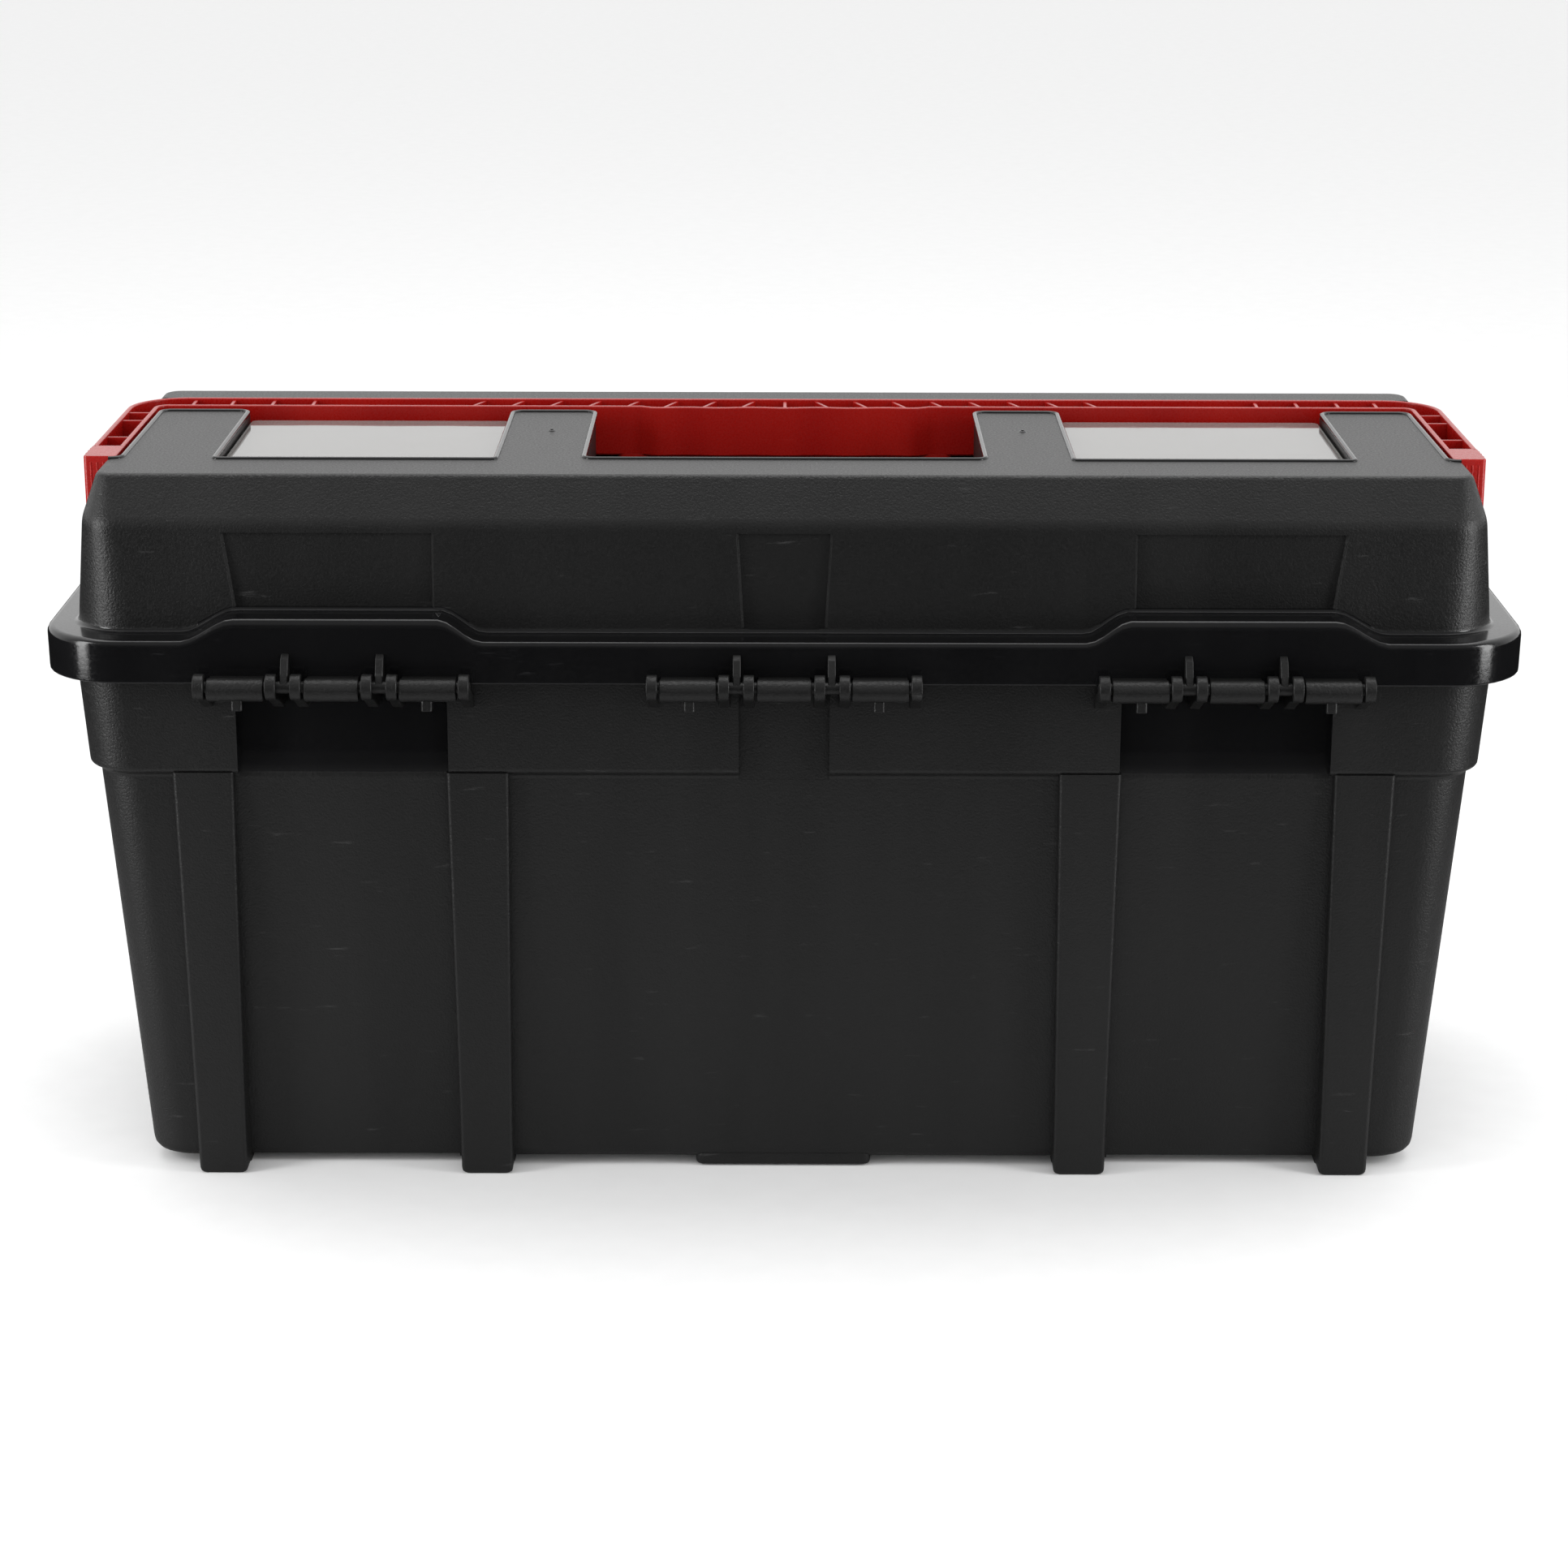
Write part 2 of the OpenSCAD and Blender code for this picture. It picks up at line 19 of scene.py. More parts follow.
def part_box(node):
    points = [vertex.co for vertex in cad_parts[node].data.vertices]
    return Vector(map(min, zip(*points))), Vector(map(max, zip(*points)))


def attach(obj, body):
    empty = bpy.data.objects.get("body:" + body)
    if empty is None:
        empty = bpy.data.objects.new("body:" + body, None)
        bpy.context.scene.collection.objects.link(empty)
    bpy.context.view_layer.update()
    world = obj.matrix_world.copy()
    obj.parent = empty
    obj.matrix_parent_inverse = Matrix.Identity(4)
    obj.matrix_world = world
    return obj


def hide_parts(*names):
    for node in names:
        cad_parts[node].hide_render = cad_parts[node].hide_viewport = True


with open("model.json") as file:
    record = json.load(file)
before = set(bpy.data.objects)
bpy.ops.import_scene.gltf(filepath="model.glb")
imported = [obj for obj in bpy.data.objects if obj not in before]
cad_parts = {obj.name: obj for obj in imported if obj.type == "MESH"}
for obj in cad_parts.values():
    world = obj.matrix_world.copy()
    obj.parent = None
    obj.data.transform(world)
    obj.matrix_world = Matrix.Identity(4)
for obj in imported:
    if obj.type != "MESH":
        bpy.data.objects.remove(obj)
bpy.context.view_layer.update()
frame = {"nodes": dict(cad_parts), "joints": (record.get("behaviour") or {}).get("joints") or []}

log = logging.getLogger("toolbox")
MM = 0.001
ARC_STEPS = 10
Socket = bpy.types.NodeSocket
SHARP_DEG = 32.0


# Sizes that the frame gives


def joint(name: str) -> dict:
    """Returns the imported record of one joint."""
    return next(j for j in frame["joints"] if j["name"] == name)


def pivot(name: str) -> tuple[float, float, float]:
    """Returns a hinge's position in millimetres."""
    return tuple(v / MM for v in joint(name)["pos_m"])


def node_box(name: str) -> tuple[Vector, Vector]:
    """Returns a CAD node's lowest and highest corners in millimetres."""
    low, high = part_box(name)
    return Vector(low) / MM, Vector(high) / MM


@dataclass(frozen=True)
class Envelope:
    """The planes and axes that the mouldings share, in millimetres."""

    half: float
    rear: float
    top: float
    hinge_y: float
    hinge_z: float
    rim_z: float
    skirt_top: float
    land_z: float

    @classmethod
    def from_frame(cls) -> "Envelope":
        """Works the shared planes out from the CAD nodes and joints."""
        _, hinge_y, hinge_z = pivot("lid_hinge")
        high = node_box("lid_shell")[1]
        rim_z = hinge_z + 1
        return cls(high.x, hinge_y - 6, high.z, hinge_y, hinge_z, rim_z, rim_z + 16.3, high.z - 1)


# Mesh kit


def arc(centre: tuple[float, float], radius: float, start: float, end: float,
        steps: int) -> list[tuple[float, float]]:
    """Lists points along an arc.

    Args:
        centre: the arc's centre in its own plane.
        radius: its radius.
        start: angle of the first point in degrees, from the plane's first axis to its second.
        end: angle of the last point.
        steps: pieces that it is cut into.

    Returns:
        The points, one more than the pieces.
    """
    turns = (math.radians(start + (end - start) * i / steps) for i in range(steps + 1))
    return [(centre[0] + radius * math.cos(a), centre[1] + radius * math.sin(a)) for a in turns]


@dataclass(frozen=True)
class Ring:
    """One level of a moulding: a rectangle with round corners, in plan, at a height."""

    left: float
    right: float
    front: float
    back: float
    corner: float
    z: float
    lift: float = 0.0

    @classmethod
    def even(cls, half: float, front: float, back: float, corner: float, z: float,
             lift: float = 0.0) -> "Ring":
        """Makes a ring that is the same to the left and to the right."""
        return cls(-half, half, front, back, corner, z, lift)

    def mix(self, other: "Ring", t: float) -> "Ring":
        """Returns the ring a share t of the way to another."""
        pairs = zip(vars(self).values(), vars(other).values())
        return Ring(*(a + (b - a) * t for a, b in pairs))

    def towards(self, other: "Ring", distance: float) -> "Ring":
        """Finds the ring a distance along the way to another.

        Args:
            other: the ring to go towards.
            distance: how far to go, in the moulding's profile.

        Returns:
            The ring there, or the one halfway if that comes first.
        """
        span = max(abs(self.right - other.right), abs(self.back - other.back))
        length = math.hypot(span, self.z - other.z) or 1.0
        return self.mix(other, min(0.5, distance / length))

    def points(self, rise: Callable[[float], float] | None = None,
               back_steps: int = 1) -> list[Vector]:
        """Lists the ring's points.

        Args:
            rise: height to add along the back edge, as a function of x, times the ring's lift.
            back_steps: how many pieces the back edge is cut into.

        Returns:
            Points in order, anticlockwise from above, starting at the right.
        """
        r = self.corner
        right, left, front, back = self.right - r, self.left + r, self.front + r, self.back - r
        rounds = [
            [Vector((*p, self.z)) for p in arc(centre, r, turn, turn + 90, ARC_STEPS)]
            for centre, turn in (((right, back), 0), ((left, back), 90),
                                 ((left, front), 180), ((right, front), 270))
        ]
        edge = [right - (right - left) * i / back_steps for i in range(1, back_steps)]
        heights = [self.z + (self.lift * rise(x) if rise else 0.0) for x in edge]
        rounds[0] += [Vector((x, self.back, z)) for x, z in zip(edge, heights)]
        return sum(rounds, [])


def round_profile(keys: list[Ring], cuts: list[float], steps: int = 4) -> list[Ring]:
    """Rounds a moulding's profile where two of its walls meet.

    Args:
        keys: the rings where the walls meet, with the first and the last kept as they are.
        cuts: how far from each inner key its rounding starts.
        steps: pieces of each rounding.

    Returns:
        The rings to loft through.
    """
    out = [keys[0]]
    for before, here, after, cut in zip(keys, keys[1:], keys[2:], cuts):
        a, b = here.towards(before, cut), here.towards(after, cut)
        for i in range(steps + 1):
            t = i / steps
            out.append(a.mix(here, t).mix(here.mix(b, t), t))
    out.append(keys[-1])
    return out


class Shell:
    """Closed surfaces in millimetres, gathered into one mesh."""

    def __init__(self) -> None:
        """Starts with no surface."""
        self.bm = bmesh.new()

    def loft(self, loops: list[list[Vector]], closed: bool = False) -> "Shell":
        """Skins a list of loops that have the same number of points.

        Args:
            loops: the loops, each a closed line of points.
            closed: joins the last loop to the first, in place of capping both.

        Returns:
            The shell.
        """
        rows = [[self.bm.verts.new(p) for p in loop] for loop in loops]
        pairs = list(zip(rows, rows[1:])) + ([(rows[-1], rows[0])] if closed else [])
        count = len(rows[0])
        for a, b in pairs:
            for i in range(count):
                j = (i + 1) % count
                self.bm.faces.new((a[i], a[j], b[j], b[i]))
        if not closed:
            self.bm.faces.new(rows[0][::-1])
            self.bm.faces.new(rows[-1])
        return self

    def rings(self, keys: list[Ring], cuts: list[float], **points) -> "Shell":
        """Lofts a rounded profile of rings; points goes to Ring.points."""
        return self.loft([ring.points(**points) for ring in round_profile(keys, cuts)])

    def slab(self, low: tuple[float, float, float], high: tuple[float, float, float],
             corner: float = 1.0, edge: float = 0.6) -> "Shell":
        """Adds a box with round upright corners and rounded top and bottom edges.

        Args:
            low: its lowest corner.
            high: its highest corner.
            corner: radius of the upright corners.
            edge: rounding of the level edges, if the box is big enough for it.

        Returns:
            The shell.
        """
        edge = min(edge, corner * 0.9, (high[2] - low[2]) * 0.45)
        full = Ring(low[0], high[0], low[1], high[1], corner, low[2])
        small = Ring(low[0] + edge, high[0] - edge, low[1] + edge, high[1] - edge,
                     corner - edge, low[2])
        keys = [small, full, replace(full, z=high[2]), replace(small, z=high[2])]
        return self.rings(keys, [edge, edge])

    def prism(self, outline: list[tuple[float, float]], x0: float, x1: float,
              edge: float = 0.0) -> "Shell":
        """Adds a Y-Z outline drawn out along X.

        Args:
            outline: its points, (y, z).
            x0: where it starts.
            x1: where it ends.
            edge: chamfer round both ends.

        Returns:
            The shell.
        """
        line = [Vector(p) for p in outline]
        area = sum(a.x * b.y - b.x * a.y for a, b in zip(line, line[1:] + line[:1]))
        inner = inset(line, edge if area > 0 else -edge) if edge else line
        levels = [(x0, inner), (x0 + edge, line), (x1 - edge, line), (x1, inner)] if edge \
            else [(x0, line), (x1, line)]
        return self.loft([[Vector((x, p.x, p.y)) for p in points] for x, points in levels])

    def spindle(self, x0: float, x1: float, y: float, z: float, r: float, ease: float = 0.6,
                sides: int = 28) -> "Shell":
        """Adds a rod along X with eased ends.

        Args:
            x0: where it starts.
            x1: where it ends.
            y: its axis, in Y.
            z: its axis, in Z.
            r: its radius.
            ease: rounding of its ends.
            sides: facets round it.

        Returns:
            The shell.
        """
        start = [(x0, r - ease), (x0 + ease * 0.3, r - ease * 0.3), (x0 + ease, r)]
        end = [(x0 + x1 - x, q) for x, q in start[::-1]]
        return self.loft([[Vector((x, *p)) for p in arc((y, z), q, 0, 360, sides)[:-1]]
                          for x, q in start + end])

    def sweep(self, path: list[Vector], section: list[tuple[float, float]], closed: bool) -> "Shell":
        """Carries a section along a path that lies in one level plane.

        Args:
            path: the points of the path.
            section: points (out, up), where out is level and square to the path.
            closed: whether the path runs back into its start.

        Returns:
            The shell.
        """
        loops = []
        count = len(path)
        for i, p in enumerate(path):
            before = path[(i - 1) % count] if closed or i else p
            after = path[(i + 1) % count] if closed or i < count - 1 else p
            run = (after - before).to_2d().normalized()
            out = Vector((run.y, -run.x))
            loops.append([Vector((p.x + out.x * a, p.y + out.y * a, p.z + b)) for a, b in section])
        return self.loft(loops, closed)

    def mirrored(self, axis: int = 0) -> "Shell":
        """Adds the mirror image of all it holds.

        Args:
            axis: the axis square to the mirror, which passes through the origin.

        Returns:
            The shell.
        """
        scale = Vector((1, 1, 1))
        scale[axis] = -1
        everything = self.bm.verts[:] + self.bm.edges[:] + self.bm.faces[:]
        copy = bmesh.ops.duplicate(self.bm, geom=everything)
        verts = [g for g in copy["geom"] if isinstance(g, bmesh.types.BMVert)]
        bmesh.ops.scale(self.bm, vec=scale, verts=verts)
        return self

    def scaled(self, by: tuple[float, float, float]) -> "Shell":
        """Scales all it holds about the origin."""
        bmesh.ops.scale(self.bm, vec=by, verts=self.bm.verts[:])
        return self

    def moved(self, by: tuple[float, float, float]) -> "Shell":
        """Moves all it holds."""
        bmesh.ops.translate(self.bm, vec=by, verts=self.bm.verts[:])
        return self

    def turned(self, degrees: float, axis: str, about: tuple[float, float, float]) -> "Shell":
        """Turns all it holds.

        Args:
            degrees: how far.
            axis: X, Y or Z.
            about: a point on the axis.

        Returns:
            The shell.
        """
        bmesh.ops.rotate(self.bm, cent=about, verts=self.bm.verts[:],
                         matrix=Matrix.Rotation(math.radians(degrees), 3, axis))
        return self

    def add(self, *others: "Shell") -> "Shell":
        """Takes in all that other shells hold, and empties them."""
        for other in others:
            self.take(other.to_object("part"))
        return self

    def take(self, thing: bpy.types.Object) -> "Shell":
        """Takes in an object's mesh, and removes the object."""
        self.bm.from_mesh(thing.data)
        bpy.data.objects.remove(thing)
        return self

    def to_object(self, name: str) -> bpy.types.Object:
        """Makes a Blender object with its faces turned outwards, and empties the shell.

        Args:
            name: the object's name.

        Returns:
            The object, still in millimetres.
        """
        bmesh.ops.recalc_face_normals(self.bm, faces=self.bm.faces[:])
        mesh = bpy.data.meshes.new(name)
        self.bm.to_mesh(mesh)
        self.bm.free()
        thing = bpy.data.objects.new(name, mesh)
        bpy.context.scene.collection.objects.link(thing)
        return thing


def inset(line: list[Vector], by: float) -> list[Vector]:
    """Moves a closed outline inwards.

    Args:
        line: its points, anticlockwise.
        by: the distance to move it.

    Returns:
        The points of the smaller outline.
    """
    out = []
    for before, here, after in zip(line[-1:] + line[:-1], line, line[1:] + line[:1]):
        a, b = (here - before).normalized(), (after - here).normalized()
        normal = Vector((-a.y - b.y, a.x + b.x))
        if normal.length < 1e-6:
            normal = Vector((-a.y, a.x))
        normal.normalize()
        out.append(here + normal * by / max(0.4, normal.dot(Vector((-a.y, a.x)))))
    return out


class Cut(Enum):
    """What a boolean does with its tool."""

    AWAY = "DIFFERENCE"
    WITH = "UNION"
    WITHIN = "INTERSECT"


def combine(thing: bpy.types.Object, tool: Shell, how: Cut) -> None:
    """Applies one boolean to an object.

    Args:
        thing: the object, whose mesh is replaced.
        tool: the shell to cut or join with, which is used up.
        how: what to do with it.
    """
    other = tool.to_object("tool")
    change = thing.modifiers.new("cut", "BOOLEAN")
    change.operation, change.object, change.solver = how.value, other, "MANIFOLD"
    graph = bpy.context.evaluated_depsgraph_get()
    mesh = bpy.data.meshes.new_from_object(thing.evaluated_get(graph))
    thing.modifiers.clear()
    old, thing.data = thing.data, mesh
    bpy.data.meshes.remove(old)
    bpy.data.objects.remove(other)


def rounded_path(corners: list[tuple[float, float, float]], z: float,
                 steps: int = 6) -> list[Vector]:
    """Turns corner points into a path with round corners.

    Args:
        corners: x, y and corner radius of each point; the ends keep their place.
        z: height of the path.
        steps: pieces of each corner.

    Returns:
        The points of the path.
    """
    flat = [Vector((x, y)) for x, y, _ in corners]
    out = [Vector((*flat[0], z))]
    for before, here, after, (_, _, r) in zip(flat, flat[1:], flat[2:], corners[1:]):
        a, b = (before - here).normalized(), (after - here).normalized()
        start, end = here + a * r, here + b * r
        centre = start + end - here
        angle = (start - centre).angle_signed(end - centre)
        for i in range(steps + 1):
            turn = Matrix.Rotation(-angle * i / steps, 2)
            out.append(Vector((*(centre + turn @ (start - centre)), z)))
    out.append(Vector((*flat[-1], z)))
    return out


def smooth_step(a: float, b: float, x: float) -> float:
    """Rises smoothly from 0 at a to 1 at b."""
    t = min(1.0, max(0.0, (x - a) / (b - a)))
    return t * t * (3 - 2 * t)


# Finishes


def linear(code: str) -> tuple[float, float, float, float]:
    """Turns an sRGB hex colour into Blender's linear colour."""
    parts = [int(code[i:i + 2], 16) / 255 for i in (1, 3, 5)]
    return (*(p / 12.92 if p <= 0.04045 else ((p + 0.055) / 1.055) ** 2.4 for p in parts), 1.0)


def add_node(tree: bpy.types.NodeTree, kind: str, values: dict | None = None,
             links: dict | None = None, **settings) -> bpy.types.Node:
    """Adds a node.

    Args:
        tree: the tree to add it to.
        kind: its Blender type.
        values: socket values, by name.
        links: sockets to link to its inputs, by name.
        settings: its properties.

    Returns:
        The node.
    """
    node = tree.nodes.new(kind)
    for name, value in settings.items():
        setattr(node, name, value)
    for name, value in (values or {}).items():
        node.inputs[name].default_value = value
    for name, socket in (links or {}).items():
        tree.links.new(socket, node.inputs[name])
    return node


def stretch(tree: bpy.types.NodeTree, place: Socket, scale: tuple[float, float, float],
            rotation: tuple[float, float, float] = (0.0, 0.0, 0.0)) -> Socket:
    """Scales and turns the coordinates of a pattern."""
    values = {"Scale": scale, "Rotation": rotation}
    return add_node(tree, "ShaderNodeMapping", values, {"Vector": place}).outputs[0]


def noise(tree: bpy.types.NodeTree, place: Socket, scale: float, detail: float,
          roughness: float = 0.5) -> Socket:
    """Adds a noise that repeats about scale times a metre."""
    values = {"Scale": scale, "Detail": detail, "Roughness": roughness}
    return add_node(tree, "ShaderNodeTexNoise", values, {"Vector": place}).outputs["Fac"]


def remap(tree: bpy.types.NodeTree, value: Socket, start: tuple[float, float],
          end: tuple[float, float] = (0.0, 1.0), kind: str = "LINEAR") -> Socket:
    """Maps one range of a value to another.

    Args:
        tree: the tree to add to.
        value: the value.
        start: its range.
        end: the range to map it to, which it doesn't leave.
        kind: how the map runs between its ends.

    Returns:
        The mapped value.
    """
    values = {"From Min": start[0], "From Max": start[1], "To Min": end[0], "To Max": end[1]}
    node = add_node(tree, "ShaderNodeMapRange", values, {"Value": value}, interpolation_type=kind)
    return node.outputs[0]


def blend(tree: bpy.types.NodeTree, share: Socket, first: Socket | str, second: str) -> Socket:
    """Mixes two colours.

    Args:
        tree: the tree to add to.
        share: how much of the second colour to take.
        first: a colour code, or a socket that gives a colour.
        second: a colour code.

    Returns:
        The mixed colour.
    """
    linked = isinstance(first, Socket)
    values = {"B": linear(second)} if linked else {"A": linear(first), "B": linear(second)}
    links = {"Factor": share} | ({"A": first} if linked else {})
    return add_node(tree, "ShaderNodeMix", values, links, data_type="RGBA").outputs["Result"]


def emboss(tree: bpy.types.NodeTree, shader: bpy.types.Node, height: Socket, depth_mm: float,
           strength: float = 1.0) -> None:
    """Bumps a shader's surface.

    Args:
        tree: the tree to add to.
        shader: the shader.
        height: the pattern that gives the relief.
        depth_mm: how deep the relief is, in millimetres.
        strength: how much of it shows.
    """
    values = {"Strength": strength, "Distance": depth_mm * MM}
    bump = add_node(tree, "ShaderNodeBump", values, {"Height": height})
    tree.links.new(bump.outputs[0], shader.inputs["Normal"])


class Material:
    """A material being built: its tree, its shader and the coordinates of its patterns."""

    def __init__(self, name: str, **values: float) -> None:
        """Starts a material with its shader and output.

        Args:
            name: the material's name.
            values: uniform values of the shader, by the name of the socket, with _ for a space.
        """
        self.data = bpy.data.materials.new(name)
        self.data.use_nodes = True
        self.tree = self.data.node_tree
        self.tree.nodes.clear()
        sockets = {socket.replace("_", " "): value for socket, value in values.items()}
        self.shader = add_node(self.tree, "ShaderNodeBsdfPrincipled", sockets)
        self.output = add_node(self.tree, "ShaderNodeOutputMaterial",
                               links={"Surface": self.shader.outputs[0]})
        self.place = add_node(self.tree, "ShaderNodeTexCoord").outputs["Object"]

    def feed(self, socket: str, source: Socket) -> None:
        """Links a pattern to one of the shader's sockets."""
        self.tree.links.new(source, self.shader.inputs[socket])


@dataclass(frozen=True)
class Polypropylene:
    """Injection-moulded polypropylene: spark-eroded grain, faint flow marks and handling scuffs."""

    name: str
    colour: str
    flow_colour: str
    scuff_colour: str
    roughness: float
    polish: float
    grain_mm: float
    grain_depth_mm: float
    scuffs: float = 0.5

    def build(self) -> bpy.types.Material:
        """Builds the material."""
        new = Material(self.name, IOR=1.49)
        tree, place = new.tree, new.place
        # Flow marks run with the melt, up the walls, about 30 mm apart.
        flow = noise(tree, stretch(tree, place, (1.0, 1.0, 0.12)), 33.0, 2.0, 0.45)
        tint = blend(tree, remap(tree, flow, (0.38, 0.72)), self.colour, self.flow_colour)
        # Scuffs are short, thin and few: a stretched noise, cut off near its peaks.
        slant = stretch(tree, place, (1.0, 1.6, 7.0), (0.5, 0.35, 0.9))
        marks = remap(tree, noise(tree, slant, 48.0, 5.0, 0.62), (0.66, 0.77), (0.0, self.scuffs))
        new.feed("Base Color", blend(tree, marks, tint, self.scuff_colour))
        # The grain is drawn about twice as coarse as on a real box, so that it shows from afar.
        grain = noise(tree, place, 1 / (self.grain_mm * MM), 2.0, 0.55)
        new.feed("Roughness", remap(tree, grain, (0.3, 0.7), (self.polish, self.roughness)))
        emboss(tree, new.shader, grain, self.grain_depth_mm)
        return new.data


@dataclass(frozen=True)
class ClearStyrene:
    """Clear moulded polystyrene: a hard gloss, a faint grey body and a few fine scratches."""

    name: str = "clear_styrene"
    colour: str = "#a6a4a1"
    roughness: float = 0.04
    rubbed: float = 0.22

    def build(self) -> bpy.types.Material:
        """Builds the material."""
        new = Material(self.name, Base_Color=linear(self.colour), Transmission_Weight=0.55, IOR=1.59)
        tree, place = new.tree, new.place
        streaks = stretch(tree, place, (1.0, 9.0, 1.0), (0.0, 0.0, 0.6))
        rub = noise(tree, streaks, 60.0, 6.0, 0.6)
        new.feed("Roughness", remap(tree, rub, (0.55, 0.8), (self.roughness, self.rubbed)))
        # Sink and flow leave the sheet very slightly uneven, about 40 mm from crest to crest.
        emboss(tree, new.shader, noise(tree, place, 25.0, 1.0), 0.4, 0.35)
        return new.data


@dataclass(frozen=True)
class ZincSteel:
    """Zinc-plated steel wire: bright, with the fine lines of drawing along its length."""

    name: str = "zinc_plated_steel"
    colour: str = "#b9bdc0"
    shine: float = 0.22
    dull: float = 0.42

    def build(self) -> bpy.types.Material:
        """Builds the material."""
        new = Material(self.name, Base_Color=linear(self.colour), Metallic=1.0)
        drawn = stretch(new.tree, new.place, (0.05, 1.0, 1.0))
        lines = noise(new.tree, drawn, 1800.0, 3.0)
        new.feed("Roughness", remap(new.tree, lines, (0.0, 1.0), (self.shine, self.dull)))
        return new.data


class Finish(Enum):
    """The finishes of the box: the record's slot that each belongs to, and its surface."""

    GRAINED = ("black_plastic", "grained")
    POLISHED = ("black_plastic", "polished")
    RED = ("red_plastic", "satin")
    CLEAR = ("clear_cover", "gloss")
    GREY = ("grey_plastic", "grained")
    STEEL = ("steel", "drawn")

    @property
    def slot(self) -> str:
        """Names the record's material slot."""
        return self.value[0]


class Paintbox:
    """Builds each finish once and hands it out."""

    RECIPES = {
        Finish.GRAINED: Polypropylene("black_polypropylene_grained", "#121212", "#161616", "#4c4c4c",
                                      0.50, 0.34, 0.9, 0.22, 0.35),
        Finish.POLISHED: Polypropylene("black_polypropylene_polished", "#0b0b0c", "#0f0f10", "#404042",
                                       0.22, 0.10, 1.2, 0.02, 0.2),
        Finish.RED: Polypropylene("red_polypropylene", "#9c0f0a", "#a6150e", "#cf5a50",
                                  0.32, 0.24, 1.1, 0.012, 0.12),
        Finish.GREY: Polypropylene("grey_polypropylene", "#3b3c3e", "#424345", "#6a6b6d",
                                   0.5, 0.38, 0.9, 0.08, 0.3),
        Finish.CLEAR: ClearStyrene(),
        Finish.STEEL: ZincSteel(),
    }

    def __init__(self) -> None:
        """Builds every material."""
        self.materials = {finish: recipe.build() for finish, recipe in self.RECIPES.items()}

    def dress(self, thing: bpy.types.Object, *finishes: Finish) -> None:
        """Gives an object its finishes, one to each material slot."""
        thing.data.materials.clear()
        for finish in finishes:
            thing.data.materials.append(self.materials[finish])


@dataclass
class Workshop:
    """Finishes pieces: metres, smooth shading, finish, body and the CAD node each stands for."""

    paint: Paintbox

    def finish(self, thing: bpy.types.Object, finish: Finish, body: str,
               stands_for: tuple[str, ...] = (),
               polished: Callable[[Vector], bool] | None = None) -> None:
        """Turns a millimetre object into a finished piece.

        Args:
            thing: the object, in millimetres.
            finish: its finish.
            body: the CAD body that it moves with.
            stands_for: the CAD nodes that it replaces.
            polished: picks the faces, by their centre in millimetres, that the mould left polished.
        """
        mesh = thing.data
        self.paint.dress(thing, finish, *([Finish.POLISHED] if polished else []))
        for face in mesh.polygons:
            face.material_index = int(polished is not None and polished(face.center))
        mesh.transform(Matrix.Scale(MM, 4))
        mesh.shade_smooth()
        mesh.set_sharp_from_angle(angle=math.radians(SHARP_DEG))
        even = thing.modifiers.new("even", "WEIGHTED_NORMAL")
        even.keep_sharp = True
        graph = bpy.context.evaluated_depsgraph_get()
        baked = bpy.data.meshes.new_from_object(thing.evaluated_get(graph))
        thing.modifiers.clear()
        thing.data = baked
        bpy.data.meshes.remove(mesh)
        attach(thing, body)
        if stands_for:
            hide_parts(*stands_for)
        log.info("%s: %d faces on %s", thing.name, len(thing.data.polygons), body)

    def dress_node(self, node: str, finish: Finish) -> None:
        """Gives a CAD node that keeps its own shape its finish."""
        self.paint.dress(frame["nodes"][node], finish)
        log.info("%s: CAD shape, %s", node, finish.name.lower())


# The hinges


